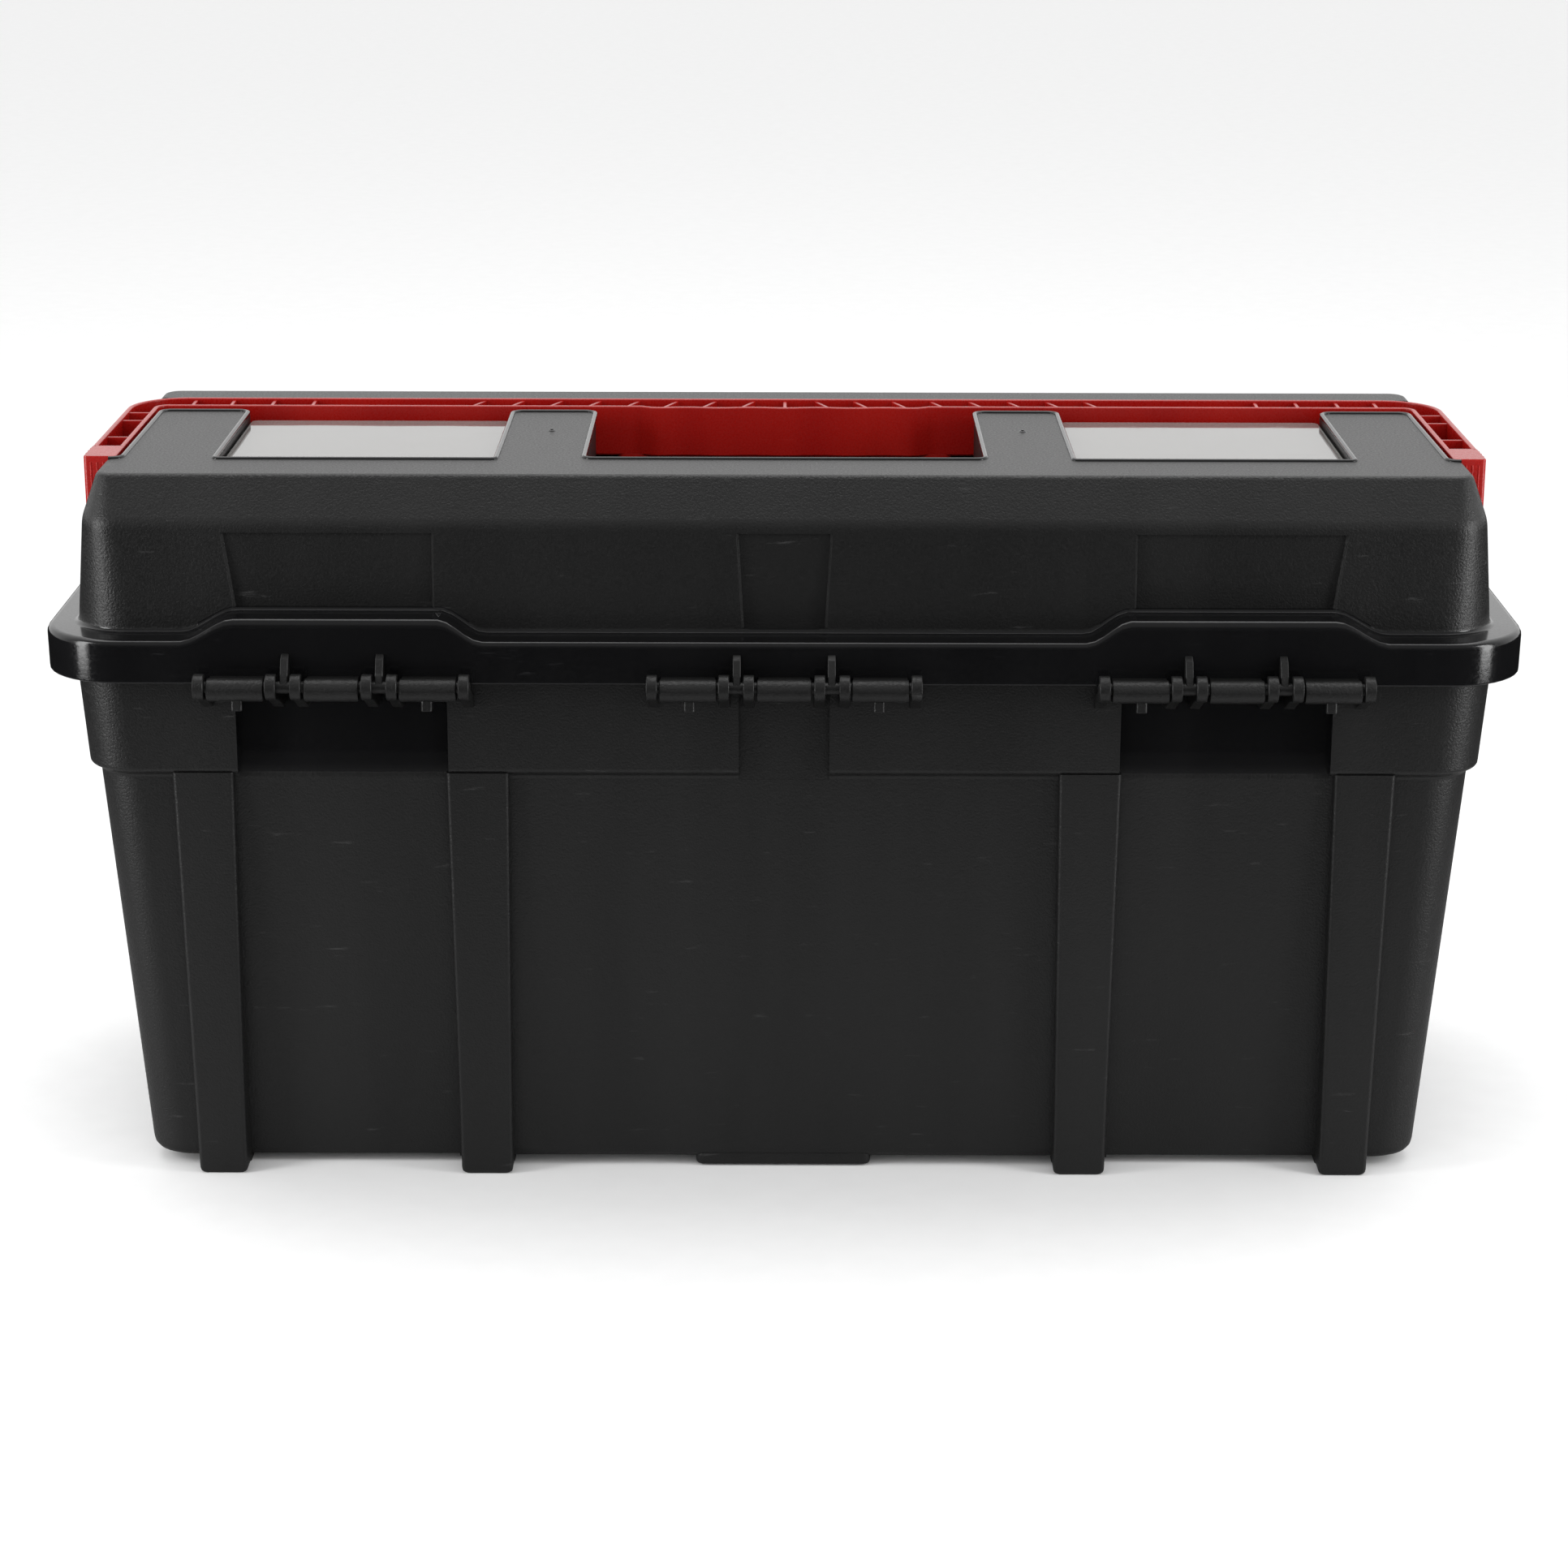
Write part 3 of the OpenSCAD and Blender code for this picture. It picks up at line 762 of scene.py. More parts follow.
@dataclass(frozen=True)
class HingeGroup:
    """One of the three rear hinges: the lid's rod with its tubes, between the base's hooks."""

    centre: float
    y: float
    z: float
    rear: float
    rod_r: float = 2.5
    rod_half: float = 55.4
    tube_r: float = 4.7
    sag: float = 1.1
    hook_r: float = 5.3
    hook_w: float = 4.3
    hooks: tuple[float, ...] = (-53.0, -24.2, -14.2, 14.2, 24.2, 53.0)
    tubes: tuple[tuple[float, float], ...] = ((-50.0, -27.0), (-11.0, 11.0), (27.0, 50.0))
    fins: tuple[float, ...] = (-19.0, 19.0)
    stops: tuple[float, ...] = (-38.0, 38.0)
    sunk_half: float = 43.0
    sunk_y: float = 99.4

    def lid_side(self) -> Shell:
        """Builds the rod, the fat tubes with their webs, the gusset fins and the stop tabs."""
        y, z, rear, tube_z, seam = self.y, self.z, self.rear, self.z - self.sag, self.tube_r + 0.15
        shell = Shell().spindle(-self.rod_half, self.rod_half, y, z, self.rod_r)
        for x0, x1 in self.tubes:
            shell.spindle(x0, x1, y, tube_z, self.tube_r, 0.8)
            # parting line of the mould, level through the middle of the tube
            shell.slab((x0 + 0.8, y - seam, tube_z - 0.25), (x1 - 0.8, y + seam, tube_z + 0.25), 0.3, 0.15)
            shell.slab((x0 + 0.6, rear - 2, z + 1), (x1 - 0.6, y + 0.5, z + 2.9), 0.6, 0.4)
        fin = [(rear - 1, z + 1), (y, z), (y + 1.9, z + 1.6), (rear + 3.2, z + 10.6), (rear - 1, z + 12.6)]
        for x in self.fins:
            shell.prism(fin, x - 1.55, x + 1.55, 0.3)
        for x in self.stops:
            tab = Shell().slab((x - 2.2, y - 1.5, z - 9.6), (x + 2.2, y + 1.5, z - 2), 1.0, 0.5)
            shell.add(tab.turned(10, "X", (0, y, z)))
        return shell.moved((self.centre, 0, 0))

    def hook_outline(self, foot: float) -> list[tuple[float, float]]:
        """Lists the outline of a hook, open to the rear.

        Args:
            foot: where in Y its leg meets the band.

        Returns:
            The points, (y, z).
        """
        y, z, rear = self.y, self.z, self.rear
        leg = [(y - 4.6, z - 6.6), (rear - 14, z - 13.6), (foot, z - 14), (foot, z - 9),
               (y - 8, z - 3.6), (y - 4.8, z - 2.0)]
        return (arc((y, z), self.hook_r, 110, -95, 20) + leg
                + arc((y, z), self.rod_r + 0.06, -158, 110, 22))

    def base_side(self) -> Shell:
        """Builds the six hooks that hold the rod."""
        shell = Shell()
        half = self.hook_w / 2
        for x in self.hooks:
            foot = self.sunk_y if abs(x) < self.sunk_half else self.rear - 15.6
            shell.prism(self.hook_outline(foot), x - half, x + half, 0.3)
        return shell.moved((self.centre, 0, 0))


# The base


@dataclass(frozen=True)
class Rib:
    """One upright rib, which ends in a foot: its side edges at the top and at the bottom."""

    top_in: float
    top_out: float
    foot_in: float
    foot_out: float


@dataclass(frozen=True)
class Tub:
    """The base: an upper band, lower walls with draft, ribs with feet and sunk panels."""

    env: Envelope
    wall: float = 2.8
    low_back: float = 104.2
    band_z: float = 175.6
    rim_h: float = 9.0
    ribs: tuple[Rib, ...] = (Rib(225, 250, 226, 246), Rib(112.5, 138, 114, 135.5))
    rib_face: float = 108.6
    panel_span: tuple[float, float] = (137.0, 226.0)
    panel_depth: float = 9.0
    foot_h: float = 4.0

    def shell(self) -> bpy.types.Object:
        """Lofts the tub, inside and outside, as one closed moulding."""
        top, t, foot, band = self.env.rim_z + 12.9, self.wall, self.foot_h, self.band_z
        rim_x, rim_y, under = self.env.half - 4, self.env.rear - 4, top - self.rim_h
        levels = (
            (240, 70, 10, foot + t), (265.3, 97, 13, foot + t), (279.8, 101, 17, band + 3),
            (283, 105, 19, band + 3), (287.3, 105, 19, top), (rim_x, rim_y, 30, top),
            (rim_x, rim_y, 30, under), (290.4, 108, 22, under - 0.6), (286.6, 107.8, 21, band + 1.2),
            (282.8, self.low_back, 20, band - 1.2), (268.3, 100, 16, foot), (240, 70, 10, foot),
        )
        keys = [Ring.even(x, -y, y, corner, z) for x, y, corner, z in levels]
        cuts = [5, 1.2, 1.0, 0.6, 0.9, 0.6, 1.2, 1.4, 1.4, 5.5]
        return Shell().rings(keys, cuts, back_steps=8).to_object("base_tub_moulding")

    def build(self) -> Shell:
        """Builds what is added to the shell on the rear wall: the ribs and their feet."""
        shell = Shell()
        face = self.rib_face
        for rib in self.ribs:
            shell.rings([
                Ring(rib.top_in, rib.top_out, 92.0, face - 0.6, 1.8, self.band_z + 0.6),
                Ring(rib.foot_in, rib.foot_out, 92.0, face, 1.8, 1.2),
                Ring(rib.foot_in + 1.4, rib.foot_out - 1.4, 93.5, face - 1.4, 1.8, 0.0),
            ], [2.0])
            shell.slab((rib.foot_in, 82.0, 0.0), (rib.foot_out, 96.0, self.foot_h + 1.5), 2.0, 1.2)
        return shell.mirrored(0)


@dataclass(frozen=True)
class TubBuilder:
    """Puts the tub together."""

    tub: Tub
    hinges: tuple[HingeGroup, ...]
    latch_x: float = 150.0
    band_back: float = 108.0
    beyond: float = 112.0
    seats: tuple[tuple[float, float, float], ...] = ((137.0, 223.0, 8.0), (-18.5, 18.5, 3.8))
    middle_foot_half: float = 37.0

    def is_polished(self, at: Vector) -> bool:
        """Tells whether a place is in the band's recesses under the outer hinges."""
        left, right, _ = self.seats[0]
        return left < abs(at.x) < right and 98 < at.y < 106.9 and at.z > self.tub.band_z + 0.3

    def panel_tools(self, side: int) -> tuple[Shell, Shell]:
        """Makes what sinks the panels between the ribs.

        Args:
            side: 1 for the rear wall, -1 for the front wall.

        Returns:
            The wall behind the panels and the wedges to cut away.
        """
        y, top, foot = self.tub.low_back, self.tub.band_z, self.tub.foot_h
        x0, x1 = self.tub.panel_span
        deep = y - self.tub.panel_depth
        wall = [(y - 1, top + 2), (y - 3.2, top + 2), (deep - 3.2, foot + 0.5), (deep + 4, foot + 0.5)]
        wedge = [(self.beyond, top), (y, top), (deep, foot - 1), (self.beyond, foot - 1)]
        tools = Shell().prism(wall, x0 - 2.5, x1 + 2.5), Shell().prism(wedge, x0, x1)
        return tuple(tool.mirrored(0).scaled((1, side, 1)) for tool in tools)

    def seat_tools(self, x0: float, x1: float, depth: float) -> tuple[Shell, Shell]:
        """Makes what sinks the band under a hinge, down to a sloping sill.

        Args:
            x0: where the seat starts.
            x1: where it ends.
            depth: how deep it is sunk.

        Returns:
            The wall behind the seat and the hole to cut away, on both sides unless in the middle.
        """
        sill, top = self.tub.band_z, self.tub.env.rim_z
        deep, low = self.band_back - depth, self.tub.low_back
        face, beyond = low - 0.12, self.beyond
        wall = Shell().slab((x0 - 3, deep - 3, sill + 0.8), (x1 + 3, 106.5, top + 3.5), 1.0, 0.2)
        hole = Shell().prism(
            [(beyond, sill - 2.8), (face, sill - 2.8), (face, sill + 0.2),
             (deep, sill + 0.2 + (low - deep) * 2.2), (deep, top + 0.5), (beyond, top + 0.5)], x0, x1)
        return (wall.mirrored(0), hole.mirrored(0)) if x0 > 0 else (wall, hole)

    def catches(self) -> Shell:
        """Builds the two ramps that the latches hook under."""
        rim, rear = self.tub.env.rim_z, self.tub.env.rear
        ramp = [(-107, rim + 3), (-rear - 1, rim - 3), (-rear - 2.8, rim - 16), (-rear - 2.8, rim - 27.5),
                (-rear - 1.9, rim - 28.6), (-rear - 1.1, rim - 25), (-107, rim - 25)]
        shell = Shell()
        for x in (-self.latch_x, self.latch_x):
            shell.prism(ramp, x - 24, x + 24, 0.6)
        return shell

    def middle_feet(self) -> Shell:
        """Builds the low feet under the middle of the rear and front walls."""
        half, foot = self.middle_foot_half, self.tub.foot_h
        return Shell().slab((-half, 86.0, foot - 3.2), (half, 99.2, foot + 3), 3.5, 2.2).mirrored(1)

    def make(self) -> bpy.types.Object:
        """Builds the whole base as one object in millimetres."""
        body = self.tub.shell()
        tools = [self.panel_tools(side) for side in (1, -1)]
        tools += [self.seat_tools(*seat) for seat in self.seats]
        for wall, hole in tools:
            combine(body, wall, Cut.WITH)
            combine(body, hole, Cut.AWAY)
        hooks = [hinge.base_side() for hinge in self.hinges]
        extra = self.tub.build().mirrored(1).add(self.middle_feet(), *hooks, self.catches())
        return Shell().take(body).add(extra).to_object("base_tub_moulded")


# The lid


@dataclass(frozen=True)
class WallPanel:
    """A panel sunk into the lid's rear wall: its sides at the top and at the foot, and its foot."""

    top_in: float
    top_out: float
    foot_in: float
    foot_out: float
    foot: float


@dataclass(frozen=True)
class Lid:
    """The lid: skirt, rising walls, chamfer band, and a top that is sunk for covers and handle."""

    env: Envelope
    hinges: tuple[HingeGroup, ...]
    wall: float = 2.8
    crease_drop: float = 18.6
    recess_back: float = 59.0
    recess_front: float = -43.0
    channel_front: float = -73.5
    channel_z: float = 272.0
    notch_x: float = 273.0
    window: tuple[float, float] = (119.5, 234.5)
    cover_z: float = 290.8
    bin_span: tuple[float, float] = (124.0, 230.0)
    bin_depth_y: tuple[float, float] = (-39.5, 55.5)
    bin_floor: float = 264.0
    finger_half: float = 83.0
    finger_front: float = -55.0
    finger_floor: float = 266.0
    ear_r: float = 21.2
    ear_y: float = 42.0
    ear_z: float = 286.5
    land_corner: float = 4.5
    bead_r: float = 1.15
    bead_back: float = 1.6
    bead_out: float = 0.5
    bead_tight: float = 2.2
    lift_in: tuple[float, float] = (121.0, 139.0)
    lift_out: tuple[float, float] = (221.0, 243.0)
    lift_h: float = 9.0
    panels: tuple[WallPanel, ...] = (WallPanel(-19.6, 19.6, -17.4, 17.4, 237.2),
                                     WallPanel(141.0, 227.0, 141.0, 222.5, 245.7))
    panel_drop: float = 22.2
    panel_depth: float = 2.8
    panel_ease: float = 1.1

    def lift(self, x: float) -> float:
        """Height that the skirt gains over the two outer hinges."""
        a = smooth_step(*self.lift_in, abs(x))
        return a * (1 - smooth_step(*self.lift_out, abs(x)))

    def is_polished(self, at: Vector) -> bool:
        """Tells whether a place is on the skirt, which the mould left polished."""
        return at.z < self.env.skirt_top + 1.8 + self.lift_h * self.lift(at.x) * (at.y > 0)

    def walls(self) -> tuple[list[Ring], list[float]]:
        """Lists the outside's rings from the top down to the skirt.

        Returns:
            The rings and the roundings between them.
        """
        env, lift = self.env, self.lift_h
        keys = [
            Ring.even(245, -60, 70, 2, env.land_z), Ring.even(278.6, -92, 90.5, 6, env.land_z),
            Ring.even(284.5, -100, 104.2, 15, env.top - self.crease_drop),
            Ring.even(288.9, -107, 107.3, 24, env.skirt_top, lift),
            Ring.even(env.half, -env.rear, env.rear, 34, env.skirt_top, lift),
            Ring.even(env.half - 0.3, 0.3 - env.rear, env.rear - 0.3, 34, env.rim_z - 1.6),
        ]
        return keys, [2.0, 3.0, 2.4, 3.2]

    def shell(self) -> bpy.types.Object:
        """Lofts the lid, outside and inside, as one closed moulding."""
        env, t, lift = self.env, self.wall, self.lift_h
        keys, cuts = self.walls()
        keys += [
            Ring.even(env.half - 3, 3 - env.rear, env.rear - 3, 31, env.rim_z - 1.6),
            Ring.even(env.half - 3, 3 - env.rear, env.rear - 3, 31, env.skirt_top - t, lift),
            Ring.even(288.9 - t, t - 107, 107.3 - t, 21, env.skirt_top - t, lift),
            Ring.even(284.5 - t, t - 100, 104.2 - t, 12, env.top - self.crease_drop - 0.5),
            Ring.even(278.6 - t, t - 92, 90.5 - t, 5, env.land_z - t),
            Ring.even(245, -60, 70, 2, env.land_z - t),
        ]
        cuts += [0.9, 0.9, 1.0, 1.0, 5.0, 1.5]
        return Shell().rings(keys, cuts, rise=self.lift, back_steps=150).to_object("lid_moulding")

    def solid(self) -> Shell:
        """Makes the lid's outside as a solid block, to trim what hangs inside it."""
        keys, cuts = self.walls()
        return Shell().rings(keys, cuts, rise=self.lift, back_steps=150)

    def hanging(self) -> list[Shell]:
        """Makes the blocks that the recesses are sunk into, each with walls all round."""
        t, top, half = self.wall, self.env.land_z, self.env.half
        y0, y1 = self.recess_front, self.recess_back
        (b0, b1), (w0, w1), f = self.bin_span, self.window, self.finger_half + t
        ear, channel = self.notch_x - t, (self.channel_front - t, self.channel_z - t)
        blocks = [
            Shell().slab((b0 - 3, y0, self.bin_floor - 2.4), (b1 + 3, y1 + 1, top), 3, 1),
            Shell().slab((w0 - t, y0 - 1, self.cover_z - t), (w1 + t, y1 + t, top), 5, 0.5),
            Shell().slab((ear, *channel), (half, y1 + 4, top), 5, 0.5),
            Shell().spindle(ear, half, self.ear_y, self.ear_z, self.ear_r + t, 0.4, 64),
            Shell().spindle(self.notch_x - 12, self.notch_x, self.ear_y, self.ear_z, 8, 0.8),
        ]
        middle = [
            Shell().slab((-f, self.finger_front - t, self.finger_floor - t), (f, y1 + t, top), 6, 0.8),
            Shell().slab((-half, *channel), (half, y0 + t, top), 3, 0.5),
        ]
        panels = [self.wall_panel(panel, 2.4) for panel in self.panels]
        return [block.mirrored(0) for block in blocks] + middle + panels

    def sunk(self) -> list[Shell]:
        """Makes the recesses themselves."""
        top, half, r = self.env.top + 2, self.env.half + 2, self.land_corner
        y0, y1 = self.recess_front, self.recess_back
        (b0, b1), (w0, w1), f = self.bin_span, self.window, self.finger_half
        bin_front, bin_back = self.bin_depth_y
        ear, channel = self.notch_x, (self.channel_front, self.channel_z)
        cuts = [
            Shell().slab((w0, y0 - 8, self.cover_z), (w1, y1 + 0.6, top), r, 0.4),
            Shell().slab((b0, bin_front, self.bin_floor), (b1, bin_back, top), 3, 2),
            Shell().slab((ear, *channel), (half, self.ear_y, top), 3, 1),
            Shell().spindle(ear, half, self.ear_y, self.ear_z, self.ear_r, 0.2, 72),
            Shell().slab((ear, self.ear_y - 3, self.ear_z), (half, y1 + 0.4, top), 3, 0.4),
        ]
        middle = [
            Shell().slab((-f, self.finger_front, self.finger_floor), (f, y1, top), r, 2.5),
            Shell().slab((-half, *channel), (half, y0, top), 2, 1.2),
        ]
        panels = [self.wall_panel(panel, 0.0) for panel in self.panels]
        return [cut.mirrored(0) for cut in cuts] + middle + panels

    def wall_panel(self, panel: "WallPanel", thicker: float) -> Shell:
        """Makes the wedge sunk into the rear wall, with slanted sides, deeper towards its foot.

        Args:
            panel: the panel's outline.
            thicker: how much deeper and wider than the panel itself to make it.

        Returns:
            The wedge, on both sides of the lid if it isn't in its middle.
        """
        top, foot = self.env.top - self.panel_drop + thicker, panel.foot - thicker

        face = 107.4 - thicker
        sections = ((116, 116, thicker), (104.6 - thicker, face, thicker),
                    (103.2 - thicker, face - self.panel_depth, thicker - self.panel_ease))
        wedge = Shell().loft([
            [Vector(p) for p in (
                (panel.top_in - wider, y_top, top), (panel.top_out + wider, y_top, top),
                (panel.foot_out + wider, y_foot, foot), (panel.foot_in - wider, y_foot, foot))]
            for y_top, y_foot, wider in sections])
        return wedge.mirrored(0) if panel.top_in > 0 else wedge

    def bead_path(self) -> list[Vector]:
        """Runs round the edges of the sunk areas, from one handle ear to the other."""
        r, y0, y1 = self.land_corner, self.recess_front, self.recess_back
        out, f, tight = self.notch_x, self.finger_half, self.bead_tight
        w0, w1 = self.window[0] - self.bead_out, self.window[1] + self.bead_out
        back = y1 + self.bead_back
        right = [(out + 5.2, back, 0), (out, back, r), (out, y0, r), (w1, y0, r), (w1, back, tight),
                 (w0, back, tight), (w0, y0, r), (f, y0, r), (f, y1, r)]
        left = [(-x, y, c) for x, y, c in right[::-1]]
        return rounded_path(right + left, self.env.land_z - 0.25)

    def make(self) -> bpy.types.Object:
        """Builds the whole lid as one object in millimetres."""
        body = self.shell()
        for block in self.hanging():
            trimmed = block.to_object("block")
            combine(trimmed, self.solid(), Cut.WITHIN)
            combine(body, Shell().take(trimmed), Cut.WITH)
        for cut in self.sunk():
            combine(body, cut, Cut.AWAY)
        return body


@dataclass(frozen=True)
class LidTrim:
    """What is moulded onto the lid: the bead round its recesses, hinge rods and latch lugs."""

    lid: Lid
    latch_x: float = 150.0
    latch_w: float = 56.0
    gates: tuple[float, float] = (-101.5, 99.5)

    def bead(self) -> Shell:
        """Builds the polished bead round the sunk areas."""
        ring = arc((0, 0), self.lid.bead_r, 0, 360, 12)[:-1]
        return Shell().sweep(self.lid.bead_path(), ring, closed=False)

    def gate_marks(self) -> Shell:
        """Builds the two short stubs that the runners left on the lands."""
        shell = Shell()
        z = self.lid.env.land_z
        for x in self.gates:
            levels = ((1.6, -0.5), (1.5, 0.1), (0.8, 0.5), (0.5, 0.95))
            shell.rings([Ring(x - r, x + r, -r, r, r * 0.9, z + h) for r, h in levels], [0.2, 0.2])
        return shell

    def hinge_rods(self) -> Shell:
        """Builds the lid's side of the three hinges."""
        return Shell().add(*(hinge.lid_side() for hinge in self.lid.hinges))

    def lugs(self) -> Shell:
        """Builds the pairs of lugs that carry the latch pins."""
        wall = 1 - self.lid.env.rear
        y, z = wall - 7, self.lid.env.skirt_top - 3.3
        line = [(wall, z + 2), (wall, z - 11), (y - 1, z - 5)] + arc((y, z), 5, 240, 90, 8)
        shell = Shell()
        for x in (-self.latch_x, self.latch_x):
            for side in (-1, 1):
                middle = x + side * (self.latch_w / 2 + 3.4)
                shell.prism(line, middle - 3, middle + 3, 0.5)
        return shell


# The handle


@dataclass(frozen=True)
class CarryHandle:
    """The folded handle: a ribbed channel, open upwards, with solid ears on moulded stubs."""

    outer: float = 289.0
    arm_w: float = 13.5
    grip_back: float = -52.6
    grip_d: float = 19.4
    ear_back: float = 58.8
    ear_l: float = 22.0
    low: float = 275.7
    high: float = 297.6
    wall: float = 2.3
    corner: float = 24.0
    swell_half: float = 59.5
    swell: float = 2.4
    wave_l: float = 14.5
    slanted: int = 8
    slant_pitch: float = 17.1
    pivot_y: float = 42.0
    pivot_z: float = 286.5

    def outer_line(self, off: float) -> list[Vector]:
        """Lists the outside of the handle in plan, set in by a distance."""
        x, y, r = self.outer - off, self.grip_back - self.grip_d + off, self.corner - off * 0.8
        return self.line(x, y, r)

    def inner_line(self, off: float) -> list[Vector]:
        """Lists the inside of the handle in plan, set into its material by a distance."""
        x, y, r = self.outer - self.arm_w + off, self.grip_back - off, 4.0 + off
        return self.line(x, y, r)

    def line(self, x: float, y: float, r: float) -> list[Vector]:
        """Lists half of the grip and one arm in plan, and their mirror image.

        Args:
            x: the arm's side.
            y: the grip's side.
            r: the radius between them.

        Returns:
            The points of a U, as many for any size.
        """
        end, bend = self.ear_back - self.ear_l + 1, x - r
        arm = [Vector((x, end)), Vector((x, end - 30)), Vector((x, y + r + 8))]
        corner = [Vector(p) for p in arc((bend, y + r), r, 0, -90, 14)]
        grip = [Vector((bend - bend * i / 60, y)) for i in range(1, 61)]
        right = arm + corner + grip
        return right + [Vector((-p.x, p.y)) for p in right[-2::-1]]

    def finger_waves(self, x: float) -> float:
        """How far the grip's rear wall swells out at a place along it."""
        body = 1 - smooth_step(self.swell_half - 1.5, self.swell_half + 1.5, abs(x))
        return body * (self.swell + 0.7 * math.cos(math.pi * x / self.wave_l))

    def channel(self) -> Shell:
        """Skins the channel's walls and floor round one closed section."""
        lo, hi, t, e = self.low, self.high, self.wall, 0.7
        floor, s = lo + t, e * 0.35
        section = [
            ("o", e, lo), ("o", 0, lo + e), ("o", 0, hi - e), ("o", s, hi - s), ("o", e, hi),
            ("o", t - e, hi), ("o", t - s, hi - s), ("o", t, hi - e), ("o", t, floor + 1),
            ("o", t + 1, floor), ("i", t + 1, floor), ("i", t, floor + 1), ("i", t, hi - e),
            ("i", t - s, hi - s), ("i", t - e, hi), ("i", e, hi), ("i", s, hi - s), ("i", 0, hi - e),
            ("i", 0, lo + e), ("i", e, lo),
        ]
        rows = []
        for side, off, z in section:
            line = self.outer_line(off) if side == "o" else self.inner_line(off)
            reach = self.grip_back + 2 if side == "i" and off < t else -math.inf
            swell = [self.finger_waves(p.x) if p.y < reach else 0.0 for p in line]
            rows.append([Vector((p.x, p.y + more, z)) for p, more in zip(line, swell)])
        return Shell().loft([list(column) for column in zip(*rows)])

    def ribs(self) -> Shell:
        """Builds the cross ribs: straight near the ends of the grip, slanted in its middle."""
        shell = Shell()
        back, front = self.grip_back - 1, self.grip_back - self.grip_d + 1
        lo, hi = self.low + 1, self.high - 0.9
        for x in (209, 227, 245, 262):
            shell.slab((x - 0.8, front, lo), (x + 0.8, back, hi), 0.7, 0.6)
        for i in range(self.slanted):
            x = 20 + i * self.slant_pitch
            rib = Shell().slab((-0.7, -20.2, lo), (0.7, 0.2, hi), 0.6, 0.6)
            shell.add(rib.turned(-21, "Z", (0, 0, 0)).moved((x, back, 0)))
        inner, outer = self.outer - self.arm_w + 1, self.outer - 1
        for y in (14, -22.5, -40):
            shell.slab((inner, y - 0.8, lo), (outer, y + 0.8, hi), 0.7, 0.6)
        middle = (inner + outer) / 2
        spine = self.high - 9
        shell.slab((middle - 0.8, self.grip_back, lo), (middle + 0.8, 38, spine), 0.7, 0.6)
        shell.mirrored(0)
        shell.slab((-0.8, front, lo), (0.8, back, hi), 0.7, 0.6)
        # deeper middle of the grip, which the fingers close round
        shell.slab((-74, front - 0.9, self.low - 2.4), (74, back + 1, self.low + 1.2), 3, 1)
        return shell

    def ears(self) -> Shell:
        """Builds the solid ears with their flutes, notches and pivot stubs."""
        x0, x1 = self.outer - self.arm_w, self.outer
        y0, y1 = self.ear_back - self.ear_l, self.ear_back
        shell = Shell().slab((x0, y0, self.low), (x1, y1, self.high), 1.6, 0.8)
        for i in range(3):
            x = x0 + 5.2 + i * 2.6
            shell.slab((x - 0.45, y1 - 0.6, self.low + 3), (x + 0.45, y1 + 0.15, self.high - 2.5),
                       0.35, 0.3)
        for i in range(3):
            y = y0 + 5 + i * 5
            shell.slab((x1 - 0.8, y - 0.7, self.high - 4), (x1 + 0.15, y + 0.7, self.high - 0.1),
                       0.4, 0.3)
        shell.spindle(x0 - 10, x0 + 1, self.pivot_y, self.pivot_z, 4.0)
        return shell.mirrored(0)

    def make(self) -> bpy.types.Object:
        """Builds the whole handle as one object in millimetres."""
        return self.channel().add(self.ribs(), self.ears()).to_object("carry_handle_moulded")


# Latches, covers and tray


@dataclass(frozen=True)
class Latch:
    """A front latch: a bowed plate on a barrel, with a hook and a finger lip at its foot."""

    x: float
    env: Envelope
    width: float = 56.0
    drop: float = 43.0
    bars: int = 4
    bar_pitch: float = 3.2
    ribs: tuple[float, ...] = (-18.0, 0.0, 18.0)

    def make(self, name: str) -> bpy.types.Object:
        """Builds the latch.

        Args:
            name: the object's name.

        Returns:
            The latch as one object in millimetres.
        """
        env, half = self.env, self.width / 2
        y, z, catch = -env.rear - 6, env.skirt_top - 3.3, -env.rear
        face, foot = -(env.hinge_y + 5.3), z - self.drop
        shell = Shell().spindle(-half, half, y, z, 5.0, 0.8, 36)
        plate = [(y - 0.5, z + 4.8), (face + 1.8, z + 3.0), (face + 0.5, z + 1), (face + 0.1, z - 6),
                 (face, z - 20), (face + 0.1, foot + 2), (face + 0.8, foot - 2.5),
                 (face + 2.4, foot - 5.4), (face + 4.6, foot - 5.6), (face + 4.9, foot - 4.6),
                 (face + 3.7, foot - 2), (face + 3.5, foot + 4), (face + 3.5, z - 5)]
        shell.prism(plate, -half, half, 0.9)
        hook = [(face + 3, foot - 3), (catch + 0.4, foot - 3), (catch + 0.4, foot + 3.7),
                (catch - 0.6, foot + 3.1), (catch - 1.2, foot), (face + 3, foot)]
        shell.prism(hook, -half + 2, half - 2, 0.5)
        # grip bars across the foot of its face, and stiffening ribs behind the plate
        for i in range(self.bars):
            z_bar = foot + 2.5 + self.bar_pitch * i
            shell.spindle(-half + 7, half - 7, face + 0.55, z_bar, 0.75, 0.3, 12)
        rib = [(face + 3, z - 5), (face + 3, foot), (face + 6.5, foot), (face + 5.2, z - 8)]
        for x in self.ribs:
            shell.prism(rib, x - 0.9, x + 0.9, 0.3)
        return shell.moved((self.x, 0, 0)).to_object(name)


